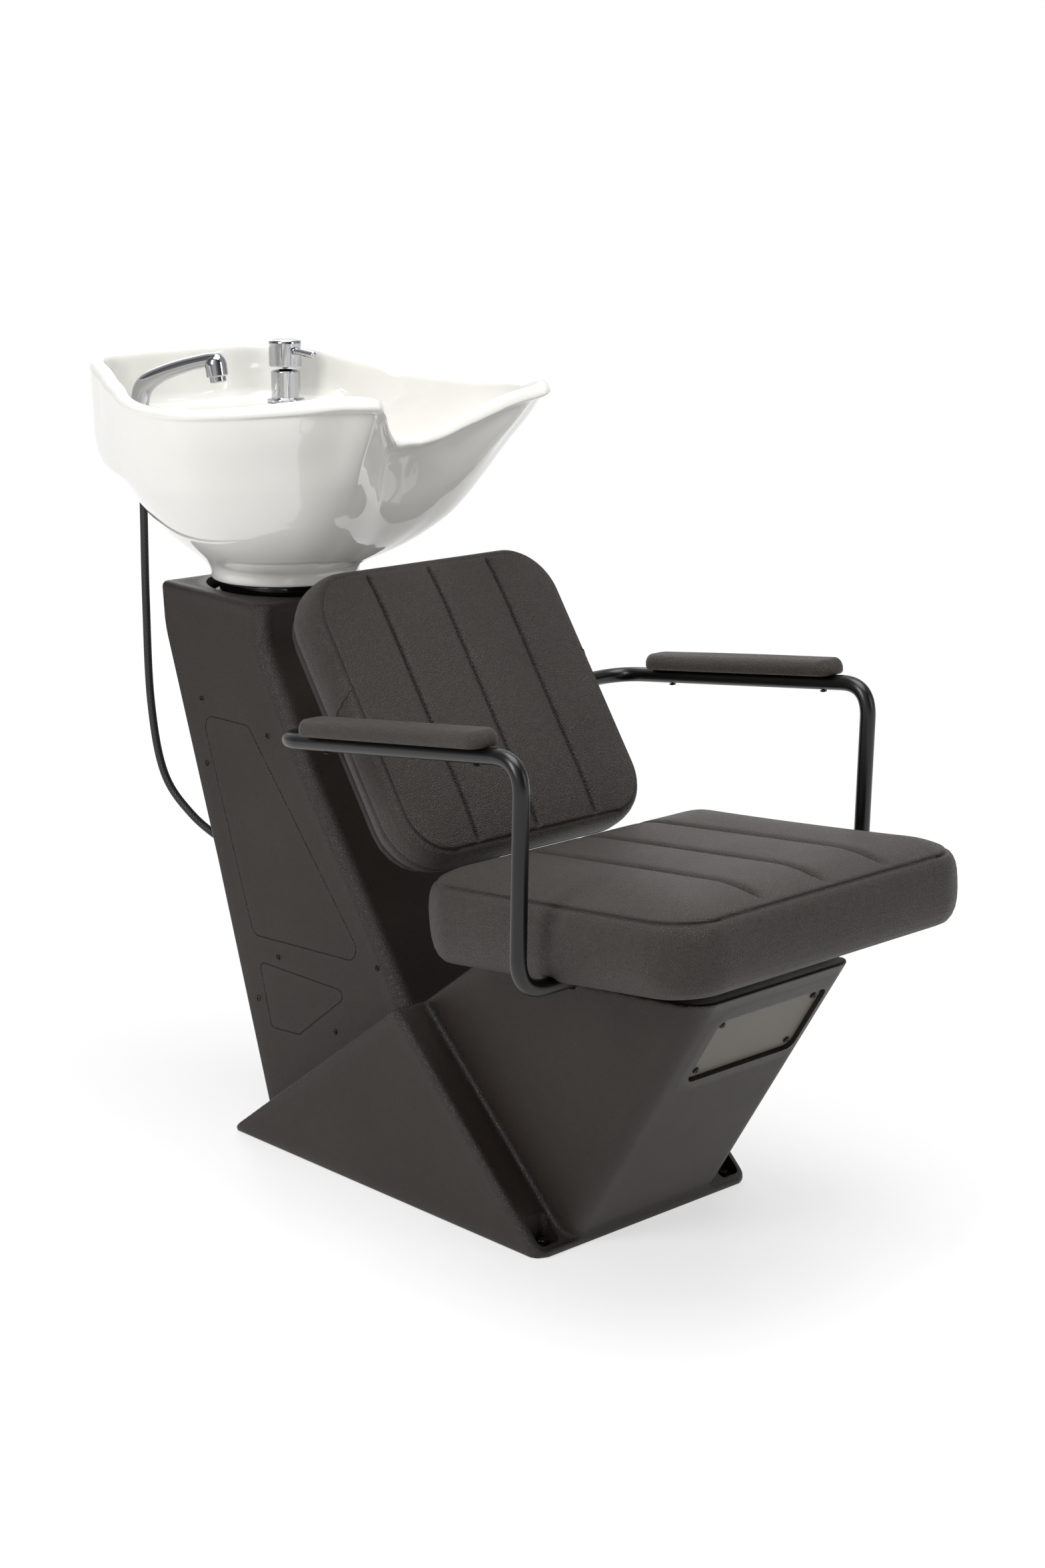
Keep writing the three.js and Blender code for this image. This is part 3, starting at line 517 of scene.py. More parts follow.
def frames_along(points):
    """Tangent and two side directions at each point, without twist."""
    following, previous = points[1:] + points[-1:], points[:1] + points[:-1]
    tangents = [(b - a).normalized() for a, b in zip(previous, following)]
    side = tangents[0].orthogonal().normalized()
    frames = []
    for i, tangent in enumerate(tangents):
        if i:
            side = tangents[i - 1].rotation_difference(tangent) @ side
        side = (side - tangent * side.dot(tangent)).normalized()
        frames.append((tangent, side, tangent.cross(side)))
    return frames


def run_lengths(points):
    return np.concatenate([[0], np.cumsum([(b - a).length for a, b in zip(points, points[1:])])])


def sweep(name, points, radius, look, sides=24, up=None, weave=False, cap=True):
    """A tube along points. radius is a number or a function of the share of length, giving (across, high)."""
    points = [Vector(p) for p in points]
    lengths = run_lengths(points)
    verts = []
    for point, (tangent, side, other), run in zip(points, frames_along(points), lengths):
        if up is not None:
            other = (up - tangent * up.dot(tangent)).normalized()
            side = other.cross(tangent)
        size = radius(run / lengths[-1]) if callable(radius) else (radius, radius)
        for k in range(sides):
            angle = 2 * math.pi * k / sides
            verts.append(point + side * math.cos(angle) * size[0] + other * math.sin(angle) * size[1])
    faces = ring_faces(len(points), sides) + (end_faces(len(points), sides) if cap else [])
    obj = piece(name, verts, faces, look)
    turn_out(obj)
    if weave:
        add_weave(obj.data, sides, lengths)
    return obj


def add_weave(mesh, sides, lengths):
    """Coordinates round and along a tube, for the braid."""
    layer = mesh.uv_layers.new(name="weave")
    for poly in mesh.polygons:
        wraps = max(mesh.loops[i].vertex_index % sides for i in poly.loop_indices) == sides - 1
        for i in poly.loop_indices:
            v = mesh.loops[i].vertex_index
            k = sides if wraps and v % sides == 0 else v % sides
            layer.data[i].uv = (k / sides, lengths[v // sides])


def bent_path(corners, bend, steps=10):
    """Straight runs joined by bends that start `bend` before each corner."""
    corners = [Vector(c) for c in corners]
    points = [corners[0]]
    for before, here, after in zip(corners, corners[1:], corners[2:]):
        start = here + (before - here).normalized() * bend
        end = here + (after - here).normalized() * bend
        points += corner_curve(start, here, end, steps)
    return points + [corners[-1]]


def smooth_curve(points, steps=8):
    """Catmull-Rom through the points."""
    p = [Vector(q) for q in points]
    p = [p[0] * 2 - p[1]] + p + [p[-1] * 2 - p[-2]]
    out = []
    for a, b, c, d in zip(p, p[1:], p[2:], p[3:]):
        square, cube = 2 * a - 5 * b + 4 * c - d, 3 * b - a - 3 * c + d
        for k in range(steps):
            t = k / steps
            out.append(0.5 * (2 * b + (c - a) * t + square * t**2 + cube * t**3))
    return out + [p[-2]]


def mirror_copy(obj, name):
    mesh = obj.data.copy()
    mesh.transform(Matrix.Scale(-1, 4, (1, 0, 0)))
    mesh.flip_normals()
    other = bpy.data.objects.new(name, mesh)
    bpy.context.scene.collection.objects.link(other)
    return other


def smoothstep(x, low, high):
    t = np.clip((x - low) / (high - low), 0, 1)
    return t * t * (3 - 2 * t)


def curve_value(xs, ys, x):
    """Smooth curve through (xs, ys) at x, flat at both ends."""
    xs, ys = np.asarray(xs, float), np.asarray(ys, float)
    slopes = np.zeros(len(xs))
    steps = np.diff(ys) / np.diff(xs)
    left, right = steps[:-1], steps[1:]
    same = left * right > 0
    slopes[1:-1] = np.where(same, 2 * left * right / np.where(same, left + right, 1), 0.25 * (left + right))
    i = int(np.clip(np.searchsorted(xs, x) - 1, 0, len(xs) - 2))
    h = xs[i + 1] - xs[i]
    t = float(np.clip((x - xs[i]) / h, 0, 1))
    a, b = 2 * t**3 - 3 * t**2 + 1, t**3 - 2 * t**2 + t
    c, d = -2 * t**3 + 3 * t**2, t**3 - t**2
    return a * ys[i] + b * h * slopes[i] + c * ys[i + 1] + d * h * slopes[i + 1]


# ---------------------------------------------------------------- moulded base
INCLINE = 0.735
FRONT_LEAN = 0.62
REAR_TOE = 0.310
PLATE_OUT = Vector((0, -1, -FRONT_LEAN)).normalized()


def incline_z(y):
    return (REAR_TOE - y) * INCLINE


def incline_y(z):
    return REAR_TOE - z / INCLINE


def front_y(z):
    return -0.300 - z * FRONT_LEAN


def on_plate(obj, depth):
    """Moves a shape drawn flat on XY to the slanted recess in the pedestal's front face."""
    up = Vector((0, PLATE_OUT.z, -PLATE_OUT.y))
    x, z = PLATE["centre"]
    matrix = Matrix((up.cross(PLATE_OUT), up, PLATE_OUT)).transposed().to_4x4()
    matrix.translation = Vector((x, front_y(z), z)) - PLATE_OUT * depth
    obj.data.transform(matrix)


def rounded_rect(width, height, radius, steps=8, centre=(0, 0)):
    points = []
    for quarter, (sx, sy) in enumerate(((1, 1), (-1, 1), (-1, -1), (1, -1))):
        x, y = centre[0] + sx * (width / 2 - radius), centre[1] + sy * (height / 2 - radius)
        for k in range(steps + 1):
            angle = (quarter + k / steps) * math.pi / 2
            points.append((x + radius * math.cos(angle), y + radius * math.sin(angle)))
    return points


def softened(name, parts, voxel, passes, keep):
    """Closed shapes merged into one skin with the rounded corners and joins of a rotational moulding."""
    verts, faces = [], []
    for part in parts:
        start = len(verts)
        verts += [tuple(v.co) for v in part.data.vertices]
        faces += [[start + i for i in p.vertices] for p in part.data.polygons]
    drop(*parts)
    obj = piece(name, verts, faces, "moulded_plastic")
    remesh = obj.modifiers.new("skin", "REMESH")
    remesh.mode, remesh.voxel_size, remesh.use_smooth_shade = "VOXEL", voxel, True
    relax = obj.modifiers.new("relax", "SMOOTH")
    relax.factor, relax.iterations = 0.5, passes
    obj.modifiers.new("thin", "DECIMATE").ratio = keep
    return baked(obj)


def leaning_corner(a, b):
    """Whether an edge runs up the pedestal's leaning front."""
    return max(a.y, b.y) < -0.28 and abs(a.z - b.z) > 0.1


def wedge_corner(a, b):
    """Whether an edge climbs a wedge's side to its top."""
    return abs(a.x - b.x) < 1e-6 and max(a.z, b.z) > 0.25


def pedestal():
    top_front, top_rear, wall, foot_width, foot_length = 0.366, 0.334, 0.009, 0.382, 0.620
    outline = [(front_y(0.004), 0.004), (0.300, 0.004)]
    outline += [(incline_y(top_rear), top_rear), (front_y(top_front), top_front)]
    body = prism("pedestal_body", outline, 0.140)
    bevel_edges(body, leaning_corner, 0.030, 8)
    wedge = prism("wedge", [(-0.304, 0), (REAR_TOE, 0), (-0.044, 0.260), (-0.304, 0.011)], foot_width / 2)
    bevel_edges(wedge, lambda a, b: wedge_corner(a, b) and min(a.y, b.y) < -0.2, 0.020, 7)
    bevel_edges(wedge, lambda a, b: wedge_corner(a, b) and max(a.y, b.y) > 0.28, 0.007, 3)
    foot = prism("foot", [(-REAR_TOE, 0), (-0.20, 0), (-0.20, 0.009), (-REAR_TOE, 0.009)], foot_width / 2)
    plan = rounded_rect(foot_width, foot_length, 0.020)
    for part in (wedge, foot):
        combine(part, "INTERSECT", flat_slab("plan", plan, -0.01, 0.3))
    shell = softened("pedestal_moulding", [body, wedge, foot], 0.0026, 8, 0.2)

    hollow = [(front_y(-0.01) + 0.012, -0.01), (0.288, -0.01)]
    hollow += [(0.302 - top_rear / INCLINE, top_rear - wall), (front_y(top_front) + 0.014, top_front - wall)]
    inner = prism("inner", hollow, 0.131)
    bevel_edges(inner, leaning_corner, 0.024, 5)
    wedge_hollow = [(-0.225, -0.01), (0.285, -0.01), (-0.042, 0.246), (-0.225, 0.060)]
    inner_wedge = prism("inner_wedge", wedge_hollow, 0.182)
    rear = flat_slab("rear", [(-0.096, 0.086), (0.096, 0.086), (0.096, 0.236), (-0.096, 0.236)], 0.02, 0.4)
    top = flat_slab("top", [(-0.06, -0.40), (0.06, -0.40), (0.06, -0.24), (-0.06, -0.24)], 0.30, 0.42)
    width, height = (size + 0.005 for size in PLATE["size"])
    recess = flat_slab("recess", rounded_rect(width, height, 0.0135), 0, 0.03)
    on_plate(recess, 0.0082)
    bolt_pockets = [rounded_rect(0.034, 0.031, 0.007, 4, (x, -0.287)) for x in (-0.163, 0.163)]
    pockets = [flat_slab("pocket", outline, 0.008, 0.07) for outline in bolt_pockets]
    return crisp(cut(shell, inner, inner_wedge, rear, top, recess, *pockets), 40)


SIDE_PANELS = (
    (((0.428, 0.560), (0.325, 0.560), (0.084, 0.277), (0.324, 0.265)), 0.017),
    (((0.312, 0.229), (0.115, 0.229), (0.226, 0.144), (0.288, 0.139)), 0.009),
)
# (distance across the groove, height over the column's side)
GROOVE = (
    (-0.0013, 0.0003), (-0.0005, -0.0009), (0.0005, -0.0009), (0.0013, 0.0003), (0.0013, 0.004),
    (-0.0013, 0.004),
)
COLUMN_HALF = 0.132


def rounded_panel(corners, radius, grow, steps=7):
    """A convex outline with rounded corners, moved outward by `grow`."""
    points, count = [], len(corners)
    for i in range(count):
        here = Vector(corners[i])
        previous = (Vector(corners[i - 1]) - here).normalized()
        following = (Vector(corners[(i + 1) % count]) - here).normalized()
        half = previous.angle(following) / 2
        centre = here + (previous + following).normalized() * (radius / math.sin(half))
        first = here + previous * (radius / math.tan(half)) - centre
        last = here + following * (radius / math.tan(half)) - centre
        start = math.atan2(first.y, first.x)
        turn = (math.atan2(last.y, last.x) - start + math.pi) % (2 * math.pi) - math.pi
        reach = radius + grow
        for k in range(steps + 1):
            angle = start + turn * k / steps
            points.append((centre.x + reach * math.cos(angle), centre.y + reach * math.sin(angle)))
    return points


def panel_groove(corners, radius, side):
    """A ring with a V section, to be cut from one side of the column."""
    rings = [rounded_panel(corners, radius, grow) for grow, _ in GROOVE]
    verts = [(side * (COLUMN_HALF + out), y, z) for (_, out), ring in zip(GROOVE, rings) for y, z in ring]
    obj = piece("groove", verts, ring_faces(len(GROOVE), len(rings[0]), True), "moulded_plastic")
    turn_out(obj)
    return obj


# (height, y) along the front and rear of the column
COLUMN_FRONT = (
    (0.020, -0.136), (0.262, 0.0189), (0.278, 0.0295), (0.397, 0.1112), (0.411, 0.1211), (0.513, 0.1949),
    (0.527, 0.2040), (0.662, 0.2814), (0.676, 0.2876), (0.690, 0.2897), (0.729, 0.2890),
)
COLUMN_REAR = (
    (0.0, 0.2939), (0.362, 0.4078), (0.374, 0.4120), (0.664, 0.5098), (0.680, 0.5136), (0.729, 0.5180),
)
COLUMN_TOP = 0.729
TOP_ROUNDING = 0.009
COLUMN_HOLLOW = (
    (0.036, 0.270), (0.126, 0.400), (0.210, 0.516), (0.300, 0.674), (0.300, 0.7225), (0.508, 0.7225),
    (0.505, 0.675), (0.402, 0.370),
)
HOSE_HOLES = ((-0.079, 0.356), (0.084, 0.440), (0.108, 0.440))


def column_ring(z, inset):
    """The column's outline at one height: broad rounding at the front corners, less at the rear."""
    front = float(np.interp(z, *zip(*COLUMN_FRONT))) + inset
    rear = float(np.interp(z, *zip(*COLUMN_REAR))) - inset
    half = COLUMN_HALF - inset
    at_front, at_rear = (front, 1, (0.023, 0.026)), (rear, -1, (0.008, 0.008))
    corners = zip((1, 1, -1, -1), (at_front, at_rear, at_rear, at_front))
    points = []
    for index, (side, (y, into, rounding)) in enumerate(corners):
        rx, ry = (max(r - inset, 0.002) for r in rounding)
        for k in range(9):
            angle = (k if index % 2 == 0 else 8 - k) / 8 * math.pi / 2
            x = side * (half - rx + rx * math.sin(angle))
            points.append((x, y + into * (ry - ry * math.cos(angle)), z))
    return points


def rising(y, z):
    """The column's flat top lifted a little towards the rear."""
    return z + float(smoothstep(z, 0.66, COLUMN_TOP)) * ((y - 0.289) * 0.036 - 0.001)


def column():
    heights = [(z, 0.0) for z in np.linspace(0.02, 0.70, 86)] + [(0.712, 0.0), (0.7195, 0.0)]
    for turn in np.linspace(0.2, math.pi / 2, 7):
        drop_by, inset = TOP_ROUNDING * (1 - math.sin(turn)), TOP_ROUNDING * (1 - math.cos(turn))
        heights.append((COLUMN_TOP - drop_by, inset))
    rings = [column_ring(z, inset) for z, inset in heights]
    verts = [(x, y, rising(y, z)) for ring in rings for x, y, z in ring]
    count = len(rings[0])
    faces = end_faces(len(rings), count) + ring_faces(len(rings), count)
    shell = piece("column_moulding", verts, faces, "moulded_plastic")
    turn_out(shell)
    gap = 0.0006
    ground = [(-0.30, incline_z(-0.30) + gap), (REAR_TOE, gap), (REAR_TOE, -0.10), (-0.30, -0.10)]
    under = prism("under", ground, 0.3)
    toes = [(y, incline_z(y) - 0.02) for y in (0.288, 0.010)]
    inner = prism("inner", list(COLUMN_HOLLOW) + toes, 0.1255)
    at_front = {(round(y, 4), round(z, 4)) for y, z in COLUMN_HOLLOW[:5] + (toes[1],)}
    is_front = lambda v: (round(v.y, 4), round(v.z, 4)) in at_front
    bevel_edges(inner, lambda a, b: abs(a.x - b.x) < 1e-6 and is_front(a) and is_front(b), 0.017, 4)
    mouth = [(0, 0.70), (0.108, 0.70), (0.108, 0.7275), (0.1105, 0.7375), (0.112, 0.76), (0, 0.76)]
    cutters = [under, inner, turned("opening", mouth, segments=96, spot=(0, BASIN_Y, 0))]
    cutters += [panel_groove(*panel, side) for panel in SIDE_PANELS for side in (-1, 1)]
    for x, z in HOSE_HOLES:
        spot = (x, 0.380 + (z - 0.352) * 0.34, z)
        cutters.append(bore(0.008, 0, 0.06, "moulded_plastic", 24, spot, (0, 1, 0)))
    return crisp(cut(shell, *cutters), 38)


# ---------------------------------------------------------------- screws
def screw_mesh(head, height, hexagon=False):
    """A screw head standing on z = 0 with its drive recess; the shank is hidden in the hole."""
    shank = 0.5 if hexagon else 0.45
    crown = [(1.0, 0.0), (1.0, 0.35), (0.86, 0.8), (0.5, 1.0), (0, 1.0)]
    if hexagon:
        crown = [(1.25, 0.0), (1.25, 0.22), (1.0, 0.24), (1.0, 0.9), (0.9, 1.0), (0, 1.0)]
    dome = [(0, -0.003), (head * shank, -0.003), (head * shank, 0.0)]
    dome += [(head * r, height * z) for r, z in crown]
    obj = turned("screw_head", dome, "dark_screw", 6 if hexagon else 28)
    if not hexagon:
        arm, half = head * 0.62, head * 0.13
        for a, b in ((half, arm), (arm, half)):
            outline = [(-a, -b), (a, -b), (a, b), (-a, b)]
            cut(obj, flat_slab("slot", outline, height * 0.45, height * 2, "dark_screw"))
    return crisp(obj, 30)


def place_screw(proto, node, spot, axis):
    name = node + "_head"
    obj = bpy.data.objects.new(name, proto.data)
    bpy.context.scene.collection.objects.link(obj)
    spin = Quaternion(UP, 0.35 + 1.7 * (sum(map(ord, name)) % 7))
    turn = UP.rotation_difference(Vector(axis).normalized())
    obj.matrix_world = Matrix.Translation(spot) @ (turn @ spin).to_matrix().to_4x4()
    dress(obj, "base", "dark_screw", node)


def node_centre(node):
    low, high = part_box(node)
    return (low + high) / 2


def all_screws():
    side_head = screw_mesh(0.004, 0.0014)
    for label, side in (("right", -1), ("left", 1)):
        for i in range(1, 8):
            node = f"column_screw_{label}_{i}"
            spot = node_centre(node)
            spot.x = side * (COLUMN_HALF + 0.0001)
            place_screw(side_head, node, spot, (side, 0, 0))
    plate_head = screw_mesh(0.0045, 0.0022)
    for i in range(1, 5):
        node = f"cover_plate_screw_{i}"
        place_screw(plate_head, node, node_centre(node) - PLATE_OUT * 0.0002, PLATE_OUT)
    bolt = screw_mesh(0.0082, 0.0068, True)
    for label in ("right", "left"):
        node = f"floor_bolt_{label}"
        spot = node_centre(node)
        spot.z = 0.0083
        place_screw(bolt, node, spot, UP)
    arm_head = screw_mesh(0.0045, 0.0024)
    down, back = (placement(spec).to_3x3() @ -UP for spec in (PAD, BACK))
    for label in ("right", "left"):
        for end in ("front", "rear"):
            node = f"arm_pad_screw_{label}_{end}"
            low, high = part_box(node)
            place_screw(arm_head, node, (low + high) / 2 + down * ((high.z - low.z) / 2 - 0.0026), down)
        node = f"arm_seat_screw_{label}"
        spot = node_centre(node)
        spot.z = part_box(node)[0].z + 0.0024
        place_screw(arm_head, node, spot, -UP)
        node = f"backrest_screw_{label}"
        place_screw(arm_head, node, node_centre(node) + back * 0.0098, back)
    drop(*[o for o in bpy.data.objects if o.name.startswith("screw_head")])


# ---------------------------------------------------------------- cushions
ROW_STEP = 0.0065
CHANNEL_STEPS = (0.0, 0.0007, 0.0015, 0.0026, 0.004, 0.006, 0.009, 0.013)
EDGE_STEPS = (0.0, 0.0008, 0.0018, 0.0032, 0.0052, 0.008, 0.0115, 0.016, 0.022)


def point_tree(points):
    tree = KDTree(len(points))
    for k, p in enumerate(points):
        tree.insert(Vector(p), k)
    tree.balance()
    return tree


class Cushion:
    """A closed pad: a top grid up to the face seam, rings down the boxing, and a bottom grid.

    Local axes: x across, y from the low end, z up off the base. A ring is (inset from the outline, height).
    """

    def __init__(self, size, radius, rings, base_inset, channels, crown, extra_rows=(), **cloth):
        self.width, self.length = size
        self.radius, self.rings, self.seam = radius, rings, rings[0][0]
        self.base_inset, self.channels, self.crown = base_inset, channels, crown
        self.still, self.pinch = cloth["still"], cloth["pinch"]
        self.voxel, self.cap = cloth["voxel"], cloth["cap"]
        self.split = max(map(abs, channels)) + 0.016 if channels else self.width / 2 - radius - 0.001
        self.columns = self.make_columns()
        self.rows = self.make_rows(extra_rows)
        self.build()

    def make_columns(self):
        """("in", x) between the outer channels, and ("out", share of the way to the edge) beyond them."""
        inner = {round(c + s * d, 5) for c in self.channels for d in CHANNEL_STEPS for s in (-1, 1)}
        count = max(1, int(2 * self.split / (ROW_STEP if self.channels else 0.0015)))
        for k in range(count + 1):
            x = -self.split + 2 * self.split * k / count
            if all(abs(x - c) > 0.0165 for c in self.channels) or abs(abs(x) - self.split) < 1e-6:
                inner.add(round(x, 5))
        reach = self.width / 2 - self.seam - self.split
        edge = [e for e in EDGE_STEPS if e < reach * 0.5]
        more = max(2, int((reach - edge[-1]) / ROW_STEP))
        shares = [1 - e / reach for e in edge]
        shares += [1 - (edge[-1] + (reach - edge[-1]) * k / more) / reach for k in range(1, more)]
        outer = [("out", f) for f in sorted(shares)]
        return [(zone, -f) for zone, f in reversed(outer)] + [("in", x) for x in sorted(inner)] + outer

    def make_rows(self, extra):
        """(kind, value): an angle on the corner at either end, or a share of the straight run between."""
        steps = 16 if self.radius > 0.04 else 9
        count = round((self.length - 2 * self.radius) / ROW_STEP)
        stops = {k / max(1, count) for k in range(count + 1)} | set(extra)
        low = [("low", math.pi / 2 * k / steps) for k in range(steps)]
        high = [("high", math.pi / 2 * (steps - 1 - k) / steps) for k in range(steps)]
        return low + [("run", t) for t in sorted(stops)] + high

    def row(self, kind, value, inset):
        """y, half width, and the outward direction at the right-hand end."""
        r = self.radius - inset
        half = self.width / 2 - inset
        if kind == "run":
            return self.radius + (self.length - 2 * self.radius) * value, half, (1.0, 0.0)
        y, trim = inset + r * (1 - math.cos(value)), r * (1 - math.sin(value))
        if kind == "low":
            return y, half - trim, (math.sin(value), -math.cos(value))
        return self.length - y, half - trim, (math.sin(value), math.cos(value))

    def flat_grid(self, inset):
        grid = np.zeros((len(self.rows), len(self.columns), 2))
        for i, (kind, value) in enumerate(self.rows):
            y, half, _ = self.row(kind, value, inset)
            for j, (zone, at) in enumerate(self.columns):
                x = at if zone == "in" else math.copysign(self.split + abs(at) * (half - self.split), at)
                grid[i, j] = x, y
        return grid

    def from_edge(self, x, y):
        """Distance inside the face seam."""
        qx = np.abs(x) - (self.width / 2 - self.radius)
        qy = np.abs(y - self.length / 2) - (self.length / 2 - self.radius)
        outside = np.hypot(np.maximum(qx, 0), np.maximum(qy, 0)) + np.minimum(np.maximum(qx, qy), 0)
        return self.radius - outside - self.seam

    def outward_at(self, i, j):
        nx, ny = self.row(*self.rows[i], 0)[2]
        last_row, last_column = len(self.rows) - 1, len(self.columns) - 1
        if i in (0, last_row) and j not in (0, last_column):
            return 0, -1 if i == 0 else 1
        return (nx if j == last_column else -nx), ny

    def build(self):
        m, n = len(self.rows), len(self.columns)
        grid = self.flat_grid(self.seam)
        depth_in = np.maximum(self.from_edge(grid[..., 0], grid[..., 1]), 0)
        top_z = self.rings[0][1] + self.crown * (1 - (1 - np.clip(depth_in / 0.085, 0, 1)) ** 2.4)
        verts = [(*grid[i, j], top_z[i, j]) for i in range(m) for j in range(n)]
        around = [(0, j) for j in range(n)] + [(i, n - 1) for i in range(1, m)]
        around += [(m - 1, j) for j in range(n - 2, -1, -1)] + [(i, 0) for i in range(m - 2, 0, -1)]
        self.outward = np.array([self.outward_at(i, j) for i, j in around])
        loop = np.array([i * n + j for i, j in around])
        count = len(around)
        seam_points = np.array([verts[k] for k in loop])
        self.rows_of = [list(loop)]
        for inset, z in self.rings[1:]:
            self.rows_of.append(list(range(len(verts), len(verts) + count)))
            shift = self.outward * (self.seam - inset)
            verts += [(p[0] + s[0], p[1] + s[1], z) for p, s in zip(seam_points, shift)]
        base = len(verts)
        low = self.flat_grid(self.base_inset)
        verts += [(*low[i, j], 0.0) for i in range(m) for j in range(n)]
        self.rows_of.append(list(base + loop))
        faces = []
        for i in range(m - 1):
            for j in range(n - 1):
                a = i * n + j
                faces.append([a, a + 1, a + n + 1, a + n])
                faces.append([base + a + n, base + a + n + 1, base + a + 1, base + a])
        for upper, lower in zip(self.rows_of, self.rows_of[1:]):
            for k in range(count):
                q = (k + 1) % count
                faces.append([upper[k], lower[k], lower[q], upper[q]])
        self.verts, self.faces, self.base, self.top_count = np.array(verts), faces, base, m * n

    def swell(self, pressure=4.0):
        """Inflates the pad as cloth, held at its seam, channels and base, and moves the fine mesh with it."""
        start, moved = inflate(self.verts, self.faces, self.voxel, self.hold, pressure)
        push = moved - start
        size = np.linalg.norm(push, axis=1)
        push *= (np.minimum(size, self.cap) / np.maximum(size, 1e-9))[:, None]
        tree = point_tree(start)
        spread = self.voxel * 1.1
        for k in range(len(self.verts)):
            near = tree.find_n(Vector(self.verts[k]), 10)
            weights = np.array([math.exp(-((d / spread) ** 2)) + 1e-6 for _, _, d in near])
            self.verts[k] += (push[[i for _, i, _ in near]] * weights[:, None]).sum(0) / weights.sum()

    def hold(self, p):
        """How firmly a start point is held: 1 at the base and seams, part-way at the channels."""
        x, y, z = p[:, 0], p[:, 1], p[:, 2]
        seam_z = self.rings[0][1]
        held = 1 - smoothstep(z, 0.004, self.still)
        if self.pinch > 0:
            near_seam = np.hypot(self.from_edge(x, y), z - seam_z)
            held = np.maximum(held, self.pinch * (1 - smoothstep(near_seam, 0.004, 0.011)))
        for c in self.channels:
            line = 0.97 * (1 - smoothstep(np.abs(x - c), 0.003, 0.010))
            held = np.maximum(held, np.where(z > seam_z - 0.004, line, 0))
        return np.clip(held, 0, 1)

    def carve_channels(self, depth, half, taper):
        top = slice(0, self.top_count)
        flat = self.flat_grid(self.seam).reshape(-1, 2)
        x, y = flat[:, 0], flat[:, 1]
        fade = smoothstep(self.from_edge(x, y), -0.001, taper)
        for c in self.channels:
            d = np.abs(x - c)
            groove = 0.62 * np.exp(-((d / half) ** 2)) + 0.38 * np.exp(-d / (half * 0.35))
            self.verts[top, 2] -= depth * groove * fade

    def carve_seam(self, row, depth, half, below=None):
        """A pinched line along one ring, deepest at the ring; below keeps it to the part with a smaller y."""
        tree = point_tree(self.verts[self.rows_of[row]])
        for k in range(self.base):
            _, i, d = tree.find(Vector(self.verts[k]))
            if d < half * 3:
                inward = np.array([-self.outward[i][0], -self.outward[i][1], -0.8 if row == 0 else 0.0])
                share = 1.0
                if below is not None:
                    share -= float(smoothstep(self.verts[k][1], below - 0.008, below + 0.002))
                inward *= depth * share / np.linalg.norm(inward)
                self.verts[k] += inward * math.exp(-((d / half) ** 2))

    def object(self, name, matrix, look):
        obj = piece(name, [matrix @ Vector(v) for v in self.verts], self.faces, look)
        turn_out(obj)
        return obj

    def ring_spot(self, row, k, matrix, out):
        return matrix @ Vector(self.verts[self.rows_of[row][k]] + np.array([*self.outward[k], 0]) * out)

    def ring_path(self, row, matrix, out=0.0):
        return [self.ring_spot(row, k, matrix, out) for k in range(len(self.rows_of[row]))]

    def lower_seam_path(self, row, matrix, below, climb):
        """One ring's path round the low end only, ending at both sides in a diagonal up to the face seam."""
        line = self.verts[self.rows_of[row]]
        count = len(line)
        right = max(k for k in range(count) if line[k][1] < below and line[k][0] > 0)
        left = min(k for k in range(count) if line[k][1] < below and line[k][0] < 0 and k > right)

        def diagonal(k, step):
            out, here = [], k
            for i in range(row):
                target, at_row = below + climb * (i + 1) / row, row - 1 - i
                while self.verts[self.rows_of[at_row][here]][1] < target:
                    here = (here + step) % count
                out.append(self.ring_spot(at_row, here, matrix, 0.0003))
            return out

        along = [self.ring_spot(row, k % count, matrix, 0.0003) for k in range(left, right + count + 1)]
        return diagonal(left, -1)[::-1] + along + diagonal(right, 1)

    def channel_path(self, centre, matrix, shift, lift):
        """The path beside one channel, along the column of points nearest to the shift."""
        target = round(centre + shift, 5)
        inner = [j for j, (zone, _) in enumerate(self.columns) if zone == "in"]
        column = min(inner, key=lambda j: abs(self.columns[j][1] - target))
        spots = (self.verts[i * len(self.columns) + column] for i in range(len(self.rows)))
        return [matrix @ Vector(spot + np.array([0, 0, lift])) for spot in spots]


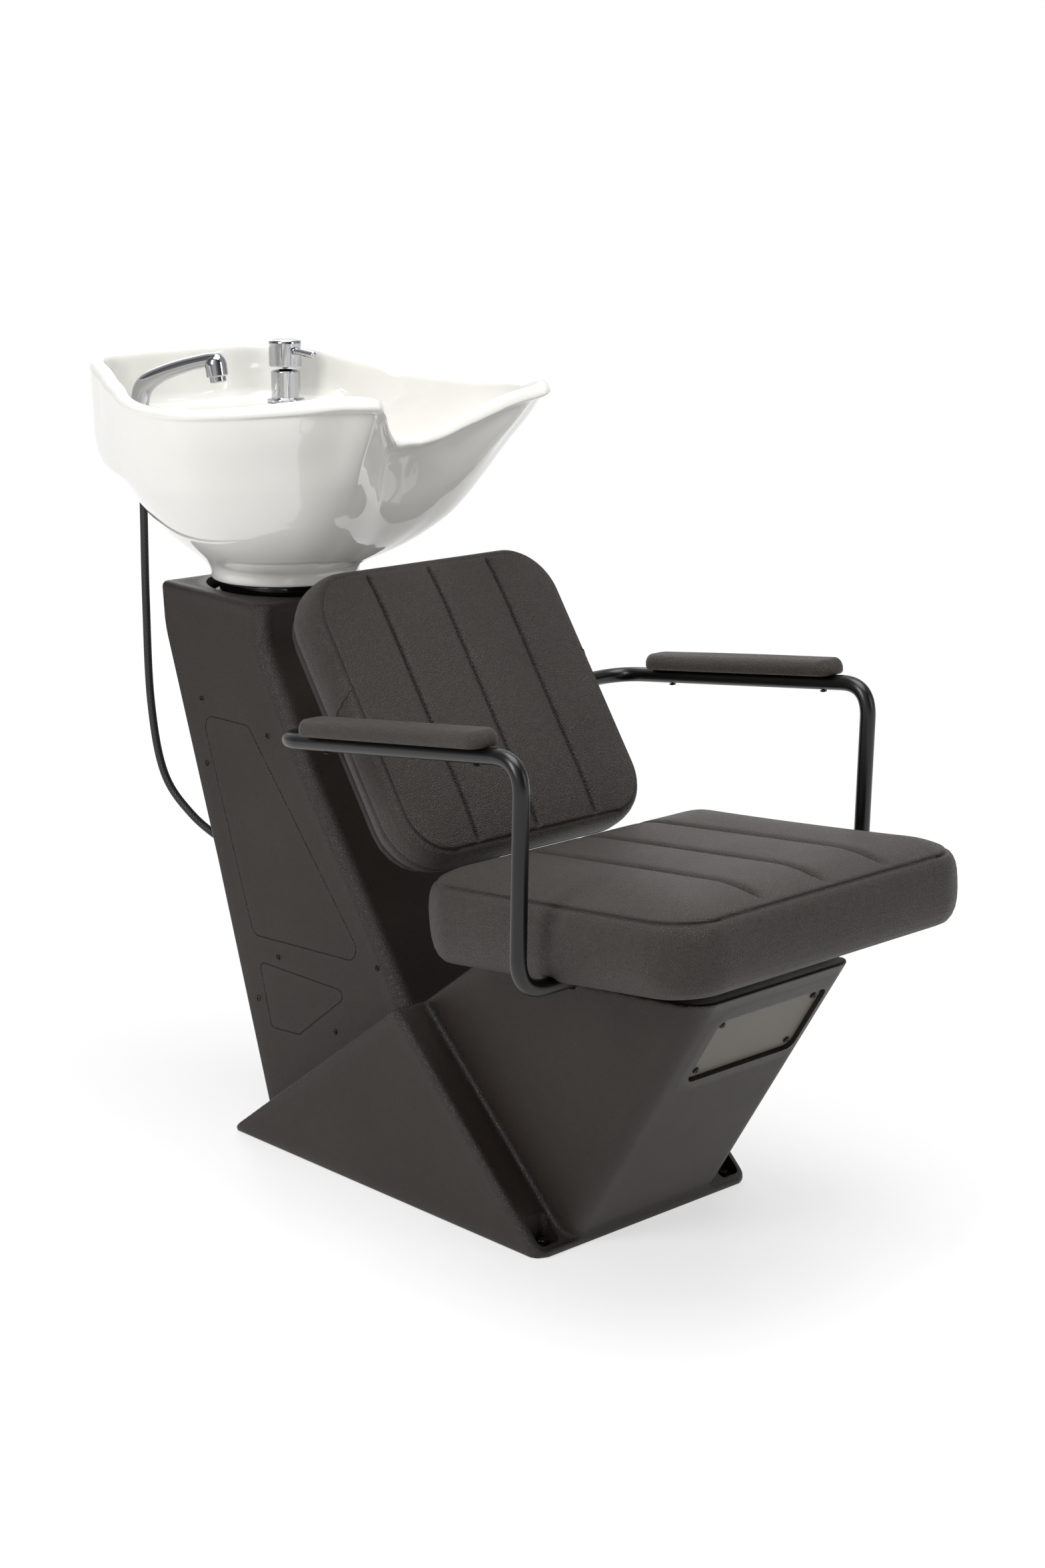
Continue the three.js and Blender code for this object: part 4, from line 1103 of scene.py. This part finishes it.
def inflate(verts, faces, voxel, hold, pressure, frames=20):
    """Where the points of a voxel copy of the shape start, and where cloth pressure moves them."""
    obj = piece("cloth_source", verts, faces, "upholstery")
    turn_out(obj)
    remesh = obj.modifiers.new("remesh", "REMESH")
    remesh.mode, remesh.voxel_size = "VOXEL", voxel
    baked(obj)
    start = np.zeros(len(obj.data.vertices) * 3)
    obj.data.vertices.foreach_get("co", start)
    start = start.reshape(-1, 3)
    group = obj.vertex_groups.new(name="held")
    for k, w in enumerate(hold(start)):
        if w > 0.01:
            group.add([k], float(w), "REPLACE")
    cloth = obj.modifiers.new("cloth", "CLOTH")
    s = cloth.settings
    s.quality, s.mass = 5, 0.35
    s.tension_stiffness = s.compression_stiffness = 22
    s.shear_stiffness, s.bending_stiffness = 9, 0.8
    s.use_pressure, s.uniform_pressure_force = True, pressure
    s.vertex_group_mass, s.pin_stiffness = "held", 1.0
    s.effector_weights.gravity = 0.0
    cloth.collision_settings.use_collision = False
    cloth.point_cache.frame_start, cloth.point_cache.frame_end = 1, frames
    scene = bpy.context.scene
    for f in range(1, frames + 1):
        scene.frame_set(f)
    mesh = obj.evaluated_get(bpy.context.evaluated_depsgraph_get()).data
    moved = np.zeros(len(mesh.vertices) * 3)
    mesh.vertices.foreach_get("co", moved)
    scene.frame_set(1)
    drop(obj)
    return start, moved.reshape(-1, 3)


def resampled(points, step, closed=False):
    points = points + [points[0]] if closed else points
    lengths = run_lengths(points)
    count = max(2, int(lengths[-1] / step))
    wanted = np.linspace(0, lengths[-1], count + (0 if closed else 1), endpoint=not closed)
    coords = np.array([tuple(p) for p in points])
    return [Vector([np.interp(w, lengths, coords[:, a]) for a in range(3)]) for w in wanted]


def cord(name, points, radius, closed=True):
    """A thin round cord laid along a path."""
    pts = resampled(points, 0.006, closed)
    pts += [pts[0]] if closed else []
    dress(sweep(name, pts, radius, "thread", sides=6, cap=not closed), "base", "upholstery")


STITCH = ((-0.5, 0.08), (-0.42, 0.75), (-0.15, 1.0), (0.15, 1.0), (0.42, 0.75), (0.5, 0.08))


def stitches(name, paths, pitch=0.0062, length=0.0042, radius=0.00045, sides=6):
    """Short rounded threads laid end to end along each path."""
    verts, faces = [], []
    for path in paths:
        pts = resampled(path, pitch)
        for a, b in zip(pts, pts[1:]):
            along = (b - a).normalized()
            side = along.orthogonal().normalized()
            other = along.cross(side)
            start = len(verts)
            for share, size in STITCH:
                centre = (a + b) / 2 + along * length * share
                for k in range(sides):
                    angle, reach = 2 * math.pi * k / sides, radius * size
                    verts.append(centre + side * math.cos(angle) * reach + other * math.sin(angle) * reach)
            faces += ring_faces(len(STITCH), sides, start=start) + end_faces(len(STITCH), sides, start)
    dress(piece(name, verts, faces, "thread"), "base", "upholstery")


SEAT_RINGS = (
    (0.011, 0.084), (0.0095, 0.0825), (0.0075, 0.080), (0.0045, 0.0755), (0.002, 0.069), (0.0005, 0.060),
    (0, 0.049), (0, 0.037), (0.0008, 0.025), (0.003, 0.014), (0.007, 0.005), (0.012, -0.001),
    (0.018, -0.0035), (0.024, -0.0025),
)
BACK_RINGS = (
    (0.011, 0.066), (0.0095, 0.0648), (0.0075, 0.0625), (0.0045, 0.0585), (0.002, 0.052), (0.0006, 0.044),
    (0.0002, 0.036), (0.0002, 0.0305), (0.0002, 0.0285), (0.0002, 0.0275), (0.0002, 0.0265), (0.0002, 0.0245),
    (0.001, 0.019), (0.004, 0.011), (0.009, 0.005), (0.016, 0.001),
)
BOXING_SEAM = 9
PAD_RINGS = (
    (0.0075, 0.0195), (0.0052, 0.0182), (0.0032, 0.0162), (0.0016, 0.0135), (0.0005, 0.0105), (0, 0.0075),
    (0, 0.0045), (0.0004, 0.0018), (0.0014, 0.0), (0.003, -0.0010),
)
TUBE_CLEARANCE = 0.0125


def seat():
    matrix = placement(SEAT)
    length, corner, depth = SEAT["size"][1], 0.070, SEAT_RINGS[0][1]
    foot_y, foot_z = (ARM_FOOT[k] - SEAT["origin"][k + 1] for k in (0, 1))
    slot_y = foot_y * math.cos(SEAT["tilt"]) + foot_z * math.sin(SEAT["tilt"])
    near = (0, 0.0045, 0.009, TUBE_CLEARANCE, 0.016)
    slot_rows = {(slot_y + side * d - corner) / (length - 2 * corner) for d in near for side in (-1, 1)}
    cloth = {"still": 0.03, "pinch": 0.9, "voxel": 0.006, "cap": 0.024}
    pad = Cushion(SEAT["size"], corner, SEAT_RINGS, 0.030, SEAT_CHANNELS, 0.019, slot_rows, **cloth)
    pad.swell()
    y, z = pad.verts[:, 1].copy(), pad.verts[:, 2]
    pad.verts[:, 1] -= 0.006 * np.clip(1 - y / 0.10, 0, 1) ** 2 * np.clip(z / 0.09, 0, 1)
    pad.verts[:, 2] += 0.011 * np.clip(pad.verts[:, 1] / length, 0, 1) * np.clip(z / depth, 0, 1) ** 2
    pad.carve_channels(0.0100, 0.0056, 0.034)
    pad.carve_seam(0, 0.0044, 0.0026)
    clear_arm_tube(pad, matrix)
    dress(pad.object("seat_cover", matrix, "upholstery"), "base", "upholstery", "seat_cushion")
    cord("seat_seam", pad.ring_path(0, matrix, 0.0004), 0.0010)


def clear_arm_tube(pad, matrix):
    """Lifts the underside of the seat into two slots that the arm tubes run in."""
    tube = matrix.inverted() @ Vector((0, *ARM_FOOT))
    for v in pad.verts:
        off = v[1] - tube.y
        if abs(off) < TUBE_CLEARANCE and v[2] < 0.03 and abs(v[0]) > 0.180:
            v[2] = max(v[2], tube.z + math.sqrt(max(TUBE_CLEARANCE**2 - off**2, 0)))


def backrest():
    matrix = placement(BACK) @ Matrix.Translation((0, -0.405, -BACK_RINGS[0][1]))
    cloth = {"still": 0.018, "pinch": 0.92, "voxel": 0.006, "cap": 0.022}
    pad = Cushion(BACK["size"], 0.074, BACK_RINGS, 0.024, BACK_CHANNELS, 0.006, **cloth)
    pad.swell()
    pad.carve_channels(0.0075, 0.0042, 0.012)
    pad.carve_seam(0, 0.0042, 0.0025)
    entry = matrix.inverted() @ Vector((BACK["size"][0] / 2, *ARM_ENTRY))
    pad.carve_seam(BOXING_SEAM, 0.0018, 0.0016, entry.y + 0.004)
    pucker(pad, entry)
    dress(pad.object("backrest_cover", matrix, "upholstery"), "base", "upholstery", "backrest_cushion")
    cord("backrest_seam", pad.ring_path(0, matrix, 0.0004), 0.0010)
    lower = pad.lower_seam_path(BOXING_SEAM, matrix, entry.y + 0.002, 0.030)
    cord("backrest_boxing_seam", lower, 0.0009, closed=False)
    lines = [pad.channel_path(c, matrix, 0.0026, 0.0003)[4:-4] for c in BACK_CHANNELS]
    stitches("backrest_channel_stitches", lines)


def pucker(pad, entry):
    """The boxing is drawn in a little where each arm tube enters it."""
    for v in pad.verts:
        reach = math.hypot(v[1] - entry.y, v[2] - entry.z)
        if reach < 0.05 and abs(v[0]) > 0.19:
            v[0] -= math.copysign(0.0035 * math.exp(-((reach / 0.018) ** 2)), v[0])


def arms():
    run_x, front_y_at, front_z = -0.300, -0.399, 0.6646
    rear_z = front_z - (ARM_ENTRY[0] - front_y_at) * PAD_SLOPE
    corners = [(-0.176, *ARM_ENTRY), (run_x, ARM_ENTRY[0], rear_z), (run_x, front_y_at, front_z)]
    corners += [(run_x, *ARM_FOOT), (-0.190, *ARM_FOOT)]
    tube = sweep("arm_tube_right_coat", bent_path(corners, 0.045, 14), 0.010, "powder_coat", sides=32)
    crisp(tube, 50)
    dress(mirror_copy(tube, "arm_tube_left_coat"), "base", "powder_coat", "arm_tube_left")
    dress(tube, "base", "powder_coat", "arm_tube_right")
    matrix = placement(PAD) @ Matrix.Translation((0, -PAD["size"][1] / 2, 0))
    cloth = {"still": 0.005, "pinch": 0.0, "voxel": 0.004, "cap": 0.003}
    pad = Cushion(PAD["size"], 0.016, PAD_RINGS, 0.0052, (), 0.0035, **cloth)
    pad.swell(3.0)
    # The pad cover takes the leatherette toned lighter, painted light for the light the pads catch.
    cover = pad.object("arm_pad_right_cover", matrix, "pad_leather_painted_lighter")
    dress(mirror_copy(cover, "arm_pad_left_cover"), "base", "upholstery", "arm_pad_left")
    dress(cover, "base", "upholstery", "arm_pad_right")


# ---------------------------------------------------------------- basin
# Tables and sections are in millimetres. Angles run from the neck rest at the front, 0, to the rear, 180.
RIM = np.array([
    (0, 272, 955), (4.2, 273, 955), (8, 292, 963), (11.2, 310, 975), (14, 333, 989), (16.5, 360, 1004),
    (18.5, 385, 1015), (20, 405, 1020), (22, 405, 1023), (26, 394, 1024), (32, 381, 1020), (40, 366, 1014),
    (50, 352, 1007), (61, 334, 1002), (72, 300, 1000), (82, 280, 1002), (92, 262, 1006), (105, 247, 1017),
    (120, 246, 1028), (132, 258, 1036), (144, 270, 1040), (162, 246, 1043), (180, 234, 1044),
], float)
LEVELS = [0, 0.03, 0.09, 0.17, 0.28, 0.4, 0.49, 0.53, 0.66, 0.84, 1]
FRONT_WALL = [0, 0.07, 0.21, 0.345, 0.49, 0.59, 0.655, 0.685, 0.775, 0.92, 1]
REAR_WALL = [0, 0.07, 0.21, 0.4, 0.58, 0.75, 0.86, 0.90, 0.97, 1.0, 1]
INNER_LEVELS = [0.84, 0.7, 0.56, 0.42, 0.28, 0.17, 0.08]
OUTER_LEVELS = [
    0.03, 0.09, 0.17, 0.28, 0.36, 0.42, 0.46, 0.486, 0.496, 0.503, 0.511, 0.522, 0.55, 0.6, 0.67, 0.74, 0.8,
]
FOOT_SECTION = [
    (24, 766), (60, 766), (84, 766), (87, 762), (88, 745), (89.5, 741.2), (92, 740.6), (99, 740.6),
    (101.8, 741.5), (102.6, 744), (103.4, 752), (106, 761),
]
DRAIN_SECTION = [(58, 785), (36, 783), (25, 782), (24, 780), (24, 770)]
FOOT_RADIUS, FOOT_TOP = 105, 762
DRAIN_RADIUS, DRAIN_TOP = 66, 782
WALL = 22


def rim_at(angle):
    return curve_value(RIM[:, 0], RIM[:, 1], angle), curve_value(RIM[:, 0], RIM[:, 2], angle)


def wall_share(level, angle):
    rear = float(smoothstep(angle, 35, 115))
    front, back = float(np.interp(level, LEVELS, FRONT_WALL)), float(np.interp(level, LEVELS, REAR_WALL))
    return front + (back - front) * rear


def skirt_step(level, angle):
    """The step under the deck's skirt, round the rear only."""
    above = 0.055 * float(smoothstep(level, 0.494, 0.513)) * (1 - float(smoothstep(level, 0.53, 0.8)))
    below = 0.050 * float(smoothstep(level, 0.30, 0.48)) * (1 - float(smoothstep(level, 0.488, 0.505)))
    return (above - below) * float(smoothstep(angle, 98, 124))


def calm_radius(angle):
    """The rim radius with the horns and the neck rest between them evened out, for the body of the bowl."""
    offsets = np.linspace(-26, 26, 27)
    weights = np.exp(-((offsets / 12) ** 2))
    radii = [rim_at(min(abs(angle + d), 360 - abs(angle + d)))[0] for d in offsets]
    return sum(w * r for w, r in zip(weights, radii)) / weights.sum()


def basin_section(angle):
    """The closed section of the basin in one direction, as (radius, height)."""
    radius, top = rim_at(angle)
    calm = calm_radius(angle)
    curl = 14 * float(1 - smoothstep(angle, 23, 37))

    def reach(level):
        return calm + (radius - calm) * float(smoothstep(level, 0.3, 0.88))

    section = list(FOOT_SECTION)
    for level in OUTER_LEVELS:
        under = curl * float(smoothstep(level, 0.5, 0.84))
        share = wall_share(level, angle) + skirt_step(level, angle)
        outer = FOOT_RADIUS + (reach(level) - FOOT_RADIUS) * share - under
        section.append((outer, FOOT_TOP + (top - FOOT_TOP) * level))
    roll = 12 + 6 * math.exp(-(((angle - 30) / 17) ** 2))
    for share, fall in ((1.0, 14), (0.9, 8), (0.5, 3.6), (0.14, 1.6)):
        level = 1 - (roll + fall) / (top - FOOT_TOP)
        outer = FOOT_RADIUS + (radius - FOOT_RADIUS) * wall_share(level, angle) - curl * share
        section.append((outer, top - roll - fall))
    round_in = 9 + 7 * curl / 14
    for turn in map(math.radians, (8, 26, 46, 66, 86)):
        section.append((radius - round_in * (1 - math.cos(turn)), top - roll * (1 - math.sin(turn))))
    section += [(radius - r, top + z) for r, z in ((17.0, -0.3), (19.8, -2.6), (21.6, -7), (22.2, -13))]
    lip = radius - WALL
    edge = min(98 / max(math.cos(math.radians(180 - angle)), 0.2), lip - WALL)
    deck = [(lip - 2, 975), (lip - 8, 963), (edge + 9, 963), (edge, 955)]
    deck += [(edge - 6, 915), (edge - 14, 850), (edge - 24, 800)]
    flat = float(smoothstep(angle, 108, 126))
    for level, (deck_r, deck_z) in zip(INNER_LEVELS, deck):
        r = DRAIN_RADIUS + (reach(level) - WALL - DRAIN_RADIUS) * wall_share(level, angle)
        z = DRAIN_TOP + (top - DRAIN_TOP - 10) * level
        section.append((r + (deck_r - r) * flat, z + (deck_z - z) * flat))
    return section + DRAIN_SECTION


def basin():
    half = [a * 1.25 for a in range(29)] + [float(a) for a in range(38, 180, 3)]
    verts, angles = [], [-a for a in reversed(half[1:])] + half + [180.0]
    for angle in angles:
        across, along = math.sin(math.radians(angle)) * MM, math.cos(math.radians(angle)) * MM
        verts += [(r * across, BASIN_Y - r * along, z * MM) for r, z in basin_section(abs(angle))]
    faces = ring_faces(len(angles), len(verts) // len(angles), True)
    obj = piece("basin_glaze", verts, faces, "basin_ceramic")
    turn_out(obj)
    soft = obj.modifiers.new("soft", "SUBSURF")
    soft.levels = soft.render_levels = 1
    baked(obj)
    cutters = [flat_slab("pocket", rounded_rect(0.270, 0.070, 0.020, centre=(0.026, 0.548)), 0.70, 0.949)]
    cutters.append(bore(0.017, 0.92, 0.99, "basin_ceramic", 48, (*MIXER, 0)))
    cutters.append(bore(0.015, 0.90, 0.99, "basin_ceramic", 48, (*SHOWER, 0)))
    cut(obj, *cutters)
    obj.data.set_sharp_from_angle(angle=math.radians(55))
    dress(obj, "basin", "basin_ceramic", "basin_bowl")


def ring_of_spots(rings, middle, height=0, turn=Matrix.Identity(3)):
    """Hole centres on rings of (radius, count) round an axis through the middle point."""
    spots = []
    for radius, count in rings:
        for k in range(count):
            angle = 2 * math.pi * k / count
            offset = Vector((radius * math.cos(angle), radius * math.sin(angle), height))
            spots.append(Vector(middle) + turn @ offset)
    return spots


def tube_section(inner, outer, low, high):
    return [(inner, low), (outer, low), (outer, high), (inner, high)]


WASTE = [
    (0, 0.6685), (0.016, 0.6685, 0.001), (0.016, 0.7834, 0.0), (0.030, 0.7834, 0.0008),
    (0.031, 0.7852, 0.001), (0.024, 0.787, 0.002), (0.019, 0.7862, 0.001), (0, 0.7846),
]


def mount():
    """The dark collar under the basin, its bearing ring, and the waste in the bowl."""
    spot = (0, BASIN_Y, 0)
    collar = fillet(tube_section(0.064, 0.091, 0.7125, 0.7398), 0.0025, closed=True)
    collar = crisp(turned("collar_gloss", collar, "gloss_black", 96, True, spot))
    dress(collar, "basin", "gloss_black", "basin_collar")
    ring = fillet(tube_section(0.092, 0.099, 0.717, 0.722), 0.0012, closed=True)
    ring = crisp(turned("bearing_ring_turned", ring, "nylon", 96, True, spot))
    dress(ring, "basin", "nylon", "bearing_ring")
    strainer = turned("waste_strainer", fillet(WASTE, 0.001, 3), "chrome", 72, spot=spot)
    # The strainer's holes are cut with the near-black look, painted shade for their insides.
    for at in ring_of_spots(((0.007, 6), (0.0135, 10)), spot):
        cut(strainer, bore(0.0018, 0.7815, 0.80, "recess", 10, at))
    dress(crisp(strainer, 40), "basin", "chrome", "waste_fitting")


# ---------------------------------------------------------------- taps
# Sections are (radius, height), with the radius of the rounded corner where it is not the usual one.
MIXER_BODY = [
    (0, 0.9265), (0.015, 0.9265, 0.001), (0.015, 0.9633, 0.0), (0.027, 0.9633, 0.001),
    (0.027, 0.9682, 0.0015), (0.0208, 0.9690, 0.0012), (0.0208, 1.0074, 0.0012), (0.0190, 1.0086, 0.001),
    (0.010, 1.0105, 0.001), (0, 1.0112),
]
MIXER_HEAD = [
    (0.010, 1.0141), (0.0222, 1.0141, 0.001), (0.0233, 1.0155, 0.001), (0.0233, 1.0500, 0.003),
    (0.0215, 1.0518, 0.002), (0, 1.0520),
]
HEAD_SOCKET = [(0, 1.0385), (0.010, 1.0385)]
LEVER = [
    (0, 0.0), (0.0056, 0.0, 0.0005), (0.0056, 0.0035, 0.0012), (0.0050, 0.0048, 0.001),
    (0.0048, 0.0425, 0.0016), (0, 0.0436),
]
HOLDER = [
    (0.0123, 0.906), (0.0143, 0.906), (0.0143, 0.9633, 0.0), (0.0190, 0.9633, 0.0008),
    (0.0190, 0.9715, 0.0015), (0.0165, 0.9738, 0.001), (0.0123, 0.9738, 0.0006),
]
SPRAY_HEAD = [
    (0, -0.0022), (0.0100, -0.0012, 0.006), (0.0148, 0.0055, 0.006), (0.0150, 0.0265, 0.0012),
    (0.0128, 0.0280, 0.001), (0.0124, 0.0215, 0.0), (0, 0.0215),
]
NOZZLE = [
    (0, 0.0218), (0.0113, 0.0218), (0.0113, 0.0345, 0.001), (0.0098, 0.0356, 0.0008), (0.0090, 0.0335, 0.0),
    (0, 0.0330),
]
HANDLE_LINE = (
    (0, 0.942), (0, 0.962), (0.001, 0.984), (0.010, 1.004), (0.034, 1.0185), (0.068, 1.0305), (0.100, 1.0385),
    (0.122, 1.0420), (0.131, 1.0425),
)
HANDLE_SHARES = [0, 0.12, 0.2, 0.34, 0.5, 0.75, 0.9, 0.97, 1]
HANDLE_ACROSS = [0.0108, 0.0112, 0.0130, 0.0138, 0.0122, 0.0112, 0.0120, 0.0105, 0.004]
HANDLE_HIGH = [0.0108, 0.0112, 0.0130, 0.0135, 0.0108, 0.0096, 0.0098, 0.0085, 0.003]


def mixer():
    spot = (*MIXER, 0)
    body = crisp(turned("mixer_body_chrome", fillet(MIXER_BODY, 0.001), "chrome", 72, spot=spot), 30)
    dress(body, "basin", "chrome", "mixer_body")
    head = fillet(MIXER_HEAD, 0.001, 4) + HEAD_SOCKET
    head = crisp(turned("mixer_head_chrome", head + [head[0]], "chrome", 72, spot=spot), 30)
    dress(head, "mixer_head", "chrome", "mixer_head")
    root, axis = (MIXER[0], MIXER[1] - 0.0240, 1.037), (0, -1, -0.09)
    rod = crisp(turned("mixer_lever_chrome", fillet(LEVER, 0.001, 5), "chrome", 40, spot=root, axis=axis), 30)
    dress(rod, "mixer_head", "chrome", "mixer_lever")
    nut = fillet(tube_section(0.0155, 0.024, 0.9405, 0.9486), 0.0008, 3, True)
    nut = crisp(turned("mixer_nut_steel", nut, "frame_steel", 6, True, spot), 30)
    dress(nut, "basin", "frame_steel", "mixer_nut")


def handle_size(share):
    """Half the handle's width and height at a share of its length."""
    return tuple(float(np.interp(share, HANDLE_SHARES, sizes)) for sizes in (HANDLE_ACROSS, HANDLE_HIGH))


def shower():
    def at(reach, z):
        return Vector((*SHOWER, z)) + SHOWER_HEADING * reach

    holder = turned("shower_holder_chrome", fillet(HOLDER, 0.0006, 4, True), "chrome", 64, True, (*SHOWER, 0))
    dress(crisp(holder, 30), "shower_socket", "chrome", "shower_holder")
    line = smooth_curve([at(*spot) for spot in HANDLE_LINE], 6)
    handle = sweep("hand_shower_body", line, handle_size, "chrome", sides=40, up=SHOWER_HEADING * -0.45 + UP)
    axis = (SHOWER_HEADING * 0.14 - UP).normalized()
    top = at(0.1185, 1.0455)
    head = turned("head", fillet(SPRAY_HEAD, 0.001, 5), "chrome", 56, spot=top, axis=axis)
    dress(crisp(combine(handle, "UNION", head), 32), "hand_shower", "chrome", "hand_shower")
    spout = turned("shower_nozzle_chrome", fillet(NOZZLE, 0.0008, 4), "chrome", 48, spot=top, axis=axis)
    turn = UP.rotation_difference(axis).to_matrix()
    # The spray holes are cut with the near-black look, painted shade for their insides.
    for spot in ring_of_spots(((0.0, 1), (0.0034, 6), (0.0066, 11)), top, 0.0315, turn):
        cut(spout, bore(0.0008, 0, 0.006, "recess", 8, spot, axis))
    dress(crisp(spout, 32), "hand_shower", "chrome", "shower_nozzle")


def hose(name, points, radius=0.0055):
    return sweep(name, points, radius, "braided_hose", sides=20, weave=True)


def tilting(obj, node):
    """Hides the hose's CAD node and bakes the hose's placement into its own mesh."""
    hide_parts(node)
    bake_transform(obj)


def hoses():
    x, y = SHOWER
    route = [(x, y, 0.934), (x, y, 0.882), (x, y, 0.830), (-0.133, 0.551, 0.700), (-0.134, 0.546, 0.560)]
    route += [(-0.131, 0.524, 0.460), (-0.115, 0.484, 0.404), (-0.090, 0.440, 0.367), (-0.079, 0.405, 0.356)]
    route += [(-0.078, 0.384, 0.353)]
    tilting(hose("shower_hose_braid", smooth_curve(route, 10), 0.0056), "shower_hose")
    tail = hose("shower_hose_tail", [(x, y, z) for z in (0.9405, 0.90, 0.87, 0.836)], 0.0046)
    dress(tail, "hand_shower", "braided_hose")
    for kind, side, low_x in (("hot", -1, 0.084), ("cold", 1, 0.108)):
        top_x = MIXER[0] + side * 0.0066
        route = [(top_x, 0.548, 0.924), (top_x, 0.552, 0.860), ((top_x + low_x) / 2, 0.562, 0.700)]
        route += [(low_x, *spot) for spot in ((0.556, 0.560), (0.510, 0.470), (0.450, 0.444), (0.405, 0.439))]
        tilting(hose(f"{kind}_hose_braid", smooth_curve(route, 10)), f"{kind}_supply_hose")


# ---------------------------------------------------------------- kept CAD nodes
KEPT_LOOKS = {
    "seat_board": "board", "backrest_board": "board", "cover_plate": "cover_plate",
    "waste_hose": "waste_pipe",
}
KEPT_BEVELS = {
    "cover_plate": 0.0007, "backrest_board": 0.0016, "seat_board": 0.0008, "base_frame": 0.0008,
    "tilt_cradle": 0.0008,
}


def carry_over():
    """Materials for the CAD nodes that still show, steel unless listed, and a fine bevel on the larger."""
    for name, obj in frame["nodes"].items():
        if obj.hide_render:
            continue
        obj.data.materials.clear()
        obj.data.materials.append(LOOK[KEPT_LOOKS.get(name, "frame_steel")])
        obj.data.polygons.foreach_set("material_index", [0] * len(obj.data.polygons))
        if name in KEPT_BEVELS:
            edge = obj.modifiers.new("edge", "BEVEL")
            edge.width, edge.segments = KEPT_BEVELS[name], 2
            edge.limit_method, edge.angle_limit = "ANGLE", math.radians(40)


# ---------------------------------------------------------------- studio
WHITE = (1, 1, 1, 1)
ROOM_TONES = (
    (0.0, 0.25), (0.04, 0.50), (0.11, 0.62), (0.15, 0.30), (0.20, 0.10), (0.27, 0.06), (0.33, 0.35),
    (0.40, 0.50), (0.45, 0.25), (0.53, 0.58), (0.60, 0.88), (0.70, 0.88), (0.80, 0.42), (0.90, 0.12),
    (1.0, 0.25),
)


def floor(half=14.0, height=-0.0008):
    """A pale floor that fades to plain white away from the unit."""
    corners = [(x * half, y * half, height) for x, y in ((-1, -1), (1, -1), (1, 1), (-1, 1))]
    obj = piece("floor", corners, [[0, 1, 2, 3]], "recess")
    m = Nodes("pale_floor")
    x, y, _ = m.add("ShaderNodeSeparateXYZ", {0: m.coords}).outputs
    far = m.math("SQRT", m.plus(m.math("POWER", x, 2.0), m.math("POWER", y, 2.0)))
    normal = m.bump(m.noise(220.0), 0.0002, 0.1)
    m.finish(Base_Color=(0.93, 0.93, 0.93, 1), Roughness=0.42, Specular_IOR_Level=0.25, Normal=normal)
    glow = m.add("ShaderNodeEmission", {"Color": WHITE, "Strength": 1.03}).outputs[0]
    shaders = {0: m.span(far, 0.75, 1.7, 0.60, 1.0), 1: m.shader.outputs[0], 2: glow}
    fade = m.add("ShaderNodeMixShader", shaders).outputs[0]
    m.feed(m.tree.nodes["Material Output"].inputs["Surface"], fade)
    obj.data.materials.clear()
    obj.data.materials.append(m.material)


def surroundings():
    """White to the camera, soft grey to matt surfaces, and light and dark walls to shiny ones."""
    world = bpy.data.worlds.new("studio")
    bpy.context.scene.world = world
    world.use_nodes = True
    w = Nodes(tree=world.node_tree)
    x, y, _ = w.add("ShaderNodeSeparateXYZ", {0: w.places["Generated"]}).outputs
    ramp = w.add("ShaderNodeValToRGB", {0: w.span(w.math("ARCTAN2", y, x), -math.pi, math.pi)})
    while len(ramp.color_ramp.elements) < len(ROOM_TONES):
        ramp.color_ramp.elements.new(0.5)
    for element, (at, value) in zip(ramp.color_ramp.elements, ROOM_TONES):
        element.position, element.color = at, (value, value, value * 1.01, 1)

    def background(tint, strength):
        return w.add("ShaderNodeBackground", {"Color": tint, "Strength": strength}).outputs[0]

    rays = w.add("ShaderNodeLightPath").outputs
    walls = {0: rays["Is Glossy Ray"], 1: background(WHITE, 0.33), 2: background(ramp.outputs[0], 1.0)}
    lit = w.add("ShaderNodeMixShader", walls).outputs[0]
    shown = {0: rays["Is Camera Ray"], 1: lit, 2: background(WHITE, 1.05)}
    w.feed(w.tree.nodes["World Output"].inputs["Surface"], w.add("ShaderNodeMixShader", shown).outputs[0])


def softbox(name, spot, aim, width, height, power):
    light = bpy.data.lights.new(name, "AREA")
    light.shape, light.size, light.size_y, light.energy = "RECTANGLE", width, height, power
    obj = bpy.data.objects.new(name, light)
    obj.location = spot
    obj.rotation_euler = (Vector(aim) - Vector(spot)).to_track_quat("-Z", "Y").to_euler()
    bpy.context.scene.collection.objects.link(obj)


def studio():
    floor()
    surroundings()
    softbox("overhead", (0.1, -0.4, 4.2), (0, -0.3, 0.5), 3.0, 3.0, 142)
    softbox("left", (-2.9, -0.3, 2.2), (0, 0, 0.6), 1.0, 1.7, 64)
    softbox("front", (1.4, -3.2, 1.6), (0, 0, 0.5), 1.0, 1.6, 15)
    softbox("rear", (1.6, 3.2, 2.2), (0, 0.2, 0.7), 1.8, 1.8, 18)
    scene = bpy.context.scene
    camera = bpy.data.cameras.new("camera")
    camera.lens, camera.sensor_width, camera.sensor_fit = 61.53, 36, "AUTO"
    obj = bpy.data.objects.new("camera", camera)
    scene.collection.objects.link(obj)
    obj.location = (-2.2810, -2.5196, 1.34665)
    obj.rotation_euler = (math.radians(76.232), math.radians(0.088), math.radians(-43.085))
    scene.camera = obj
    scene.view_settings.view_transform = "Standard"
    scene.view_settings.look = "None"


dress(pedestal(), "base", "moulded_plastic", "pedestal_shell")
dress(column(), "base", "moulded_plastic", "column_shell")
all_screws()
seat()
backrest()
arms()
basin()
mount()
mixer()
shower()
hoses()
carry_over()
studio()
